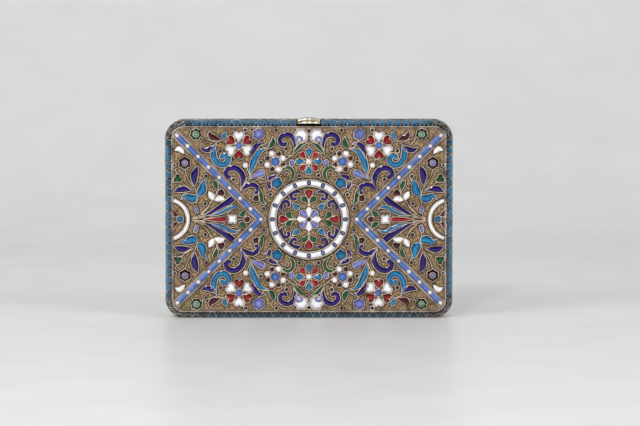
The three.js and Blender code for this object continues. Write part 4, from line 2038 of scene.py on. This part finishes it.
@dataclass(frozen=True)
class ThumbPiece:
    """The thumb-piece in the lid's top edge: two bowed tiers with a groove between, on a flange."""

    half_width: float = 4.4
    steps: int = 48
    top: float = 77.1
    tier: float = 1.1
    groove: float = 0.35
    bow: float = 0.7
    foot: float = 74.4
    shoulder: float = 8.5
    front: float = 9.1
    back: float = 1.7
    edge_back: float = 4.9
    flange_half: float = 5.8
    flange_low: float = 74.0
    flange_high: float = 74.8
    shelf_half: float = 6.2
    shelf_back: float = 5.8
    shelf_front: float = 7.8
    bar_bevel = 0.08
    lobes: int = 4
    lobe_depth: float = 0.34

    def section(self) -> list[Vector]:
        """The section seen from the end: how far it is in front of the joint, and how high."""
        groove_top = self.top - self.tier
        groove_low = groove_top - self.groove
        lower_middle = (self.foot + groove_low) / 2
        bulge = [
            Vector((self.shoulder, self.foot)),
            Vector((self.front - 0.12, self.foot + 0.3)),
            Vector((self.front, lower_middle)),
            Vector((self.front - 0.12, groove_low - 0.3)),
            Vector((self.shoulder, groove_low)),
        ]
        crown = [
            Vector((self.shoulder, groove_top)),
            Vector((self.shoulder + 0.1, groove_top + 0.35)),
            Vector((self.shoulder - 0.35, self.top - 0.2)),
            Vector((self.shoulder - 1.6, self.top - 0.03)),
            Vector((self.edge_back, self.top)),
        ]
        return [
            Vector((self.back, self.flange_low)),
            Vector((self.edge_back, self.flange_low)),
            Vector((self.shoulder - 0.9, self.foot)),
            *flowing(bulge, 3),
            Vector((self.shoulder - self.groove, (groove_top + groove_low) / 2)),
            *flowing(crown, 3),
            Vector((self.back, self.top)),
        ]

    def shaped(self, spot: Vector) -> Vector:
        """A point of the straight bar after it is bowed and scalloped, in millimetres."""
        share = spot.x / self.half_width
        lift = min(1.0, max(0.0, (spot.z - self.foot) / (self.top - self.foot)))
        fall = self.bow * share**2 * min(1.0, 1.7 * lift)
        wave = 1 - abs(math.sin((share + 1) / 2 * self.lobes * math.pi))
        depth = -spot.y
        outer = min(1.0, max(0.0, (depth - self.shoulder + 0.4) / 0.8))
        tier_share = 1.0 if spot.z < self.top - self.tier - self.groove / 2 else 0.3
        depth -= self.lobe_depth * wave * outer * tier_share
        end = max(0.0, abs(share) - 0.93) / 0.07
        depth -= 0.5 * end**2 * outer
        return Vector((spot.x, -depth, spot.z - fall - 0.15 * end**2 * lift))

    def build(self, finishes: Finishes) -> None:
        """Make the thumb-piece and the shelf below its notch."""
        bm = bmesh.new()
        section = self.section()
        start = bm.faces.new([bm.verts.new((-self.half_width, -spot.x, spot.y)) for spot in section])
        end = start
        for _ in range(self.steps):
            end = drawn_out(bm, end, Vector((2 * self.half_width / self.steps, 0, 0)))
        for vert in bm.verts:
            vert.co = self.shaped(vert.co)
        flange = self.bar(self.flange_half, self.back, self.edge_back, self.flange_low, self.flange_high)
        whole = in_metres(bm)
        join_into(whole, in_metres(flange))
        piece = finish_piece("thumb_piece_bar", whole, finishes.rubbed, "thumb_piece", 38.0)
        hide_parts("thumb_piece")
        floor = HalfShell(Half.FRONT).notch_floor
        shelf = self.bar(self.shelf_half, self.shelf_back, self.shelf_front, floor - CASE.wall, floor)
        half = Half.FRONT
        finish_piece("lid_notch_shelf", in_metres(shelf), finishes.plain, half.value)

    def bar(self, half: float, near: float, far: float, low: float, high: float) -> bmesh.types.BMesh:
        """A bar along the case with softened edges, in front of the joint."""
        bm, face = plate_of(((-half, low), (half, low), (half, high), (-half, high)), -near)
        drawn_out(bm, face, Vector((0, near - far, 0)))
        bmesh.ops.recalc_face_normals(bm, faces=bm.faces[:])
        soften(bm, bm.edges[:], self.bar_bevel)
        return bm


@dataclass(frozen=True)
class Studio:
    """A pale floor with a cove, soft lights, and a camera with a long lens in front of the case."""

    aim: tuple[float, float, float] = (4.25, 0.0, 39.9)
    distance: float = 1000.0
    elevation: float = 3.4
    lens: float = 145.5
    fold_line: float = 0.0
    floor_half_width: float = 1.5
    front_reach: float = 1.6
    cove_radius: float = 0.35
    cove_steps: int = 12
    backdrop_height: float = 1.6
    room_light: float = 0.2
    room_seen: float = 0.72

    def build(self) -> None:
        """Make everything round the case."""
        self.place_camera()
        self.lay_floor()
        self.hang_lights()
        world = bpy.data.worlds.new("pale_room")
        world.use_nodes = True
        background = world.node_tree.nodes["Background"]
        background.inputs["Color"].default_value = (0.86, 0.88, 0.92, 1)
        seen = world.node_tree.nodes.new("ShaderNodeLightPath").outputs["Is Camera Ray"]
        strength = world.node_tree.nodes.new("ShaderNodeMath")
        strength.operation = "MULTIPLY_ADD"
        strength.inputs[1].default_value = self.room_seen - self.room_light
        strength.inputs[2].default_value = self.room_light
        world.node_tree.links.new(seen, strength.inputs[0])
        world.node_tree.links.new(strength.outputs["Value"], background.inputs["Strength"])
        bpy.context.scene.world = world
        bpy.context.scene.view_settings.view_transform = "Standard"

    def place_camera(self) -> None:
        """Stand the camera in front of the case, a little above its middle."""
        lean = math.radians(self.elevation)
        aim = Vector(self.aim) * MM
        data = bpy.data.cameras.new("camera")
        data.lens = self.lens
        data.clip_start = 0.01
        camera = bpy.data.objects.new("camera", data)
        camera.location = aim + Vector((0, -math.cos(lean), math.sin(lean))) * self.distance * MM
        camera.rotation_euler = (aim - camera.location).to_track_quat("-Z", "Y").to_euler()
        bpy.context.scene.collection.objects.link(camera)
        bpy.context.scene.camera = camera

    def lay_floor(self) -> None:
        """Lay the floor in two parts; the one under the lid's sweep folds away with the lid."""
        material = PaperFinish().material()
        radius = self.cove_radius
        steps = [(radius, 0.0)]
        for i in range(1, self.cove_steps + 1):
            turn = i / self.cove_steps * math.pi / 2
            steps.append((radius + radius * math.sin(turn), radius * (1 - math.cos(turn))))
        steps.append((2 * radius, self.backdrop_height))
        self.lay_sheet("backdrop", steps, material)
        front = self.lay_sheet("front_floor", [(-self.front_reach, 0.0)], material)
        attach(front, Half.FRONT.value)

    def lay_sheet(self, name: str, steps: Sequence[Point], material: bpy.types.Material) -> bpy.types.Object:
        """Lay one sheet of the paper, from the fold line on.

        Args:
            name: Its name.
            steps: How far back and how high each further line across it is, in metres.
            material: Its finish.

        Returns:
            The sheet.
        """
        bm = bmesh.new()
        ends = (-self.floor_half_width, self.floor_half_width)
        fold = [bm.verts.new((x, self.fold_line * MM, 0)) for x in ends]
        edges = [bm.edges.new(fold)]
        for y, z in steps:
            grown = bmesh.ops.extrude_edge_only(bm, edges=edges)["geom"]
            edges = [item for item in grown if isinstance(item, bmesh.types.BMEdge)]
            for vert in (item for item in grown if isinstance(item, bmesh.types.BMVert)):
                vert.co = (vert.co.x, y, z)
        bm.normal_update()
        wrong = [face for face in bm.faces if face.normal.z < 0 or face.normal.y > 0.5]
        bmesh.ops.reverse_faces(bm, faces=wrong)
        mesh = bpy.data.meshes.new(name)
        bm.to_mesh(mesh)
        bm.free()
        mesh.materials.append(material)
        mesh.polygons.foreach_set("use_smooth", [True] * len(mesh.polygons))
        sheet = bpy.data.objects.new(name, mesh)
        bpy.context.scene.collection.objects.link(sheet)
        return sheet

    def hang_lights(self) -> None:
        """Hang the soft lights."""
        lamps = (
            ("overhead", (0.0, -0.25, 1.1), (0, 0, 0.03), (1.2, 0.8), 2.2),
            ("left_softbox", (-0.9, -0.9, 0.6), (0, 0, 0.04), (0.7, 0.7), 9.0),
            ("right_softbox", (0.95, -0.8, 0.5), (0, 0, 0.04), (0.5, 0.7), 6.2),
            ("sparkle", (-0.25, -1.2, 0.75), (0, 0, 0.04), (0.12, 0.12), 4.0),
        )
        for name, place, aim, size, power in lamps:
            data = bpy.data.lights.new(name, "AREA")
            data.shape = "RECTANGLE"
            data.size, data.size_y = size
            data.energy = power
            lamp = bpy.data.objects.new(name, data)
            lamp.location = place
            lamp.visible_camera = False
            lamp.rotation_euler = (Vector(aim) - lamp.location).to_track_quat("-Z", "Y").to_euler()
            bpy.context.scene.collection.objects.link(lamp)


@dataclass(frozen=True)
class PaperFinish:
    """Pale matt paper under and behind the case."""

    light: Colour = tone(242, 242, 242)
    deep: Colour = tone(237, 237, 237)

    def material(self) -> bpy.types.Material:
        """Build the finish's material."""
        bench = NodeBench("pale_paper")
        bench.join(bench.ramp(bench.noise(30.0), [(0.3, self.deep), (0.7, self.light)]), "Base Color")
        bench.set(Roughness=0.36)
        return bench.material


def main() -> None:
    """Build the case and its studio, part by part."""
    logging.basicConfig(level=logging.INFO, format="%(message)s")
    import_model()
    finishes = Finishes()
    Studio().build()
    for half in Half:
        HalfShell(half).build(finishes)
        FaceWork(half, finishes).build()
        TrellisWork(half, finishes).build()
    Hinge().build(finishes)
    InnerLip().build(finishes)
    ThumbPiece().build(finishes)


if __name__ == "__main__":
    main()
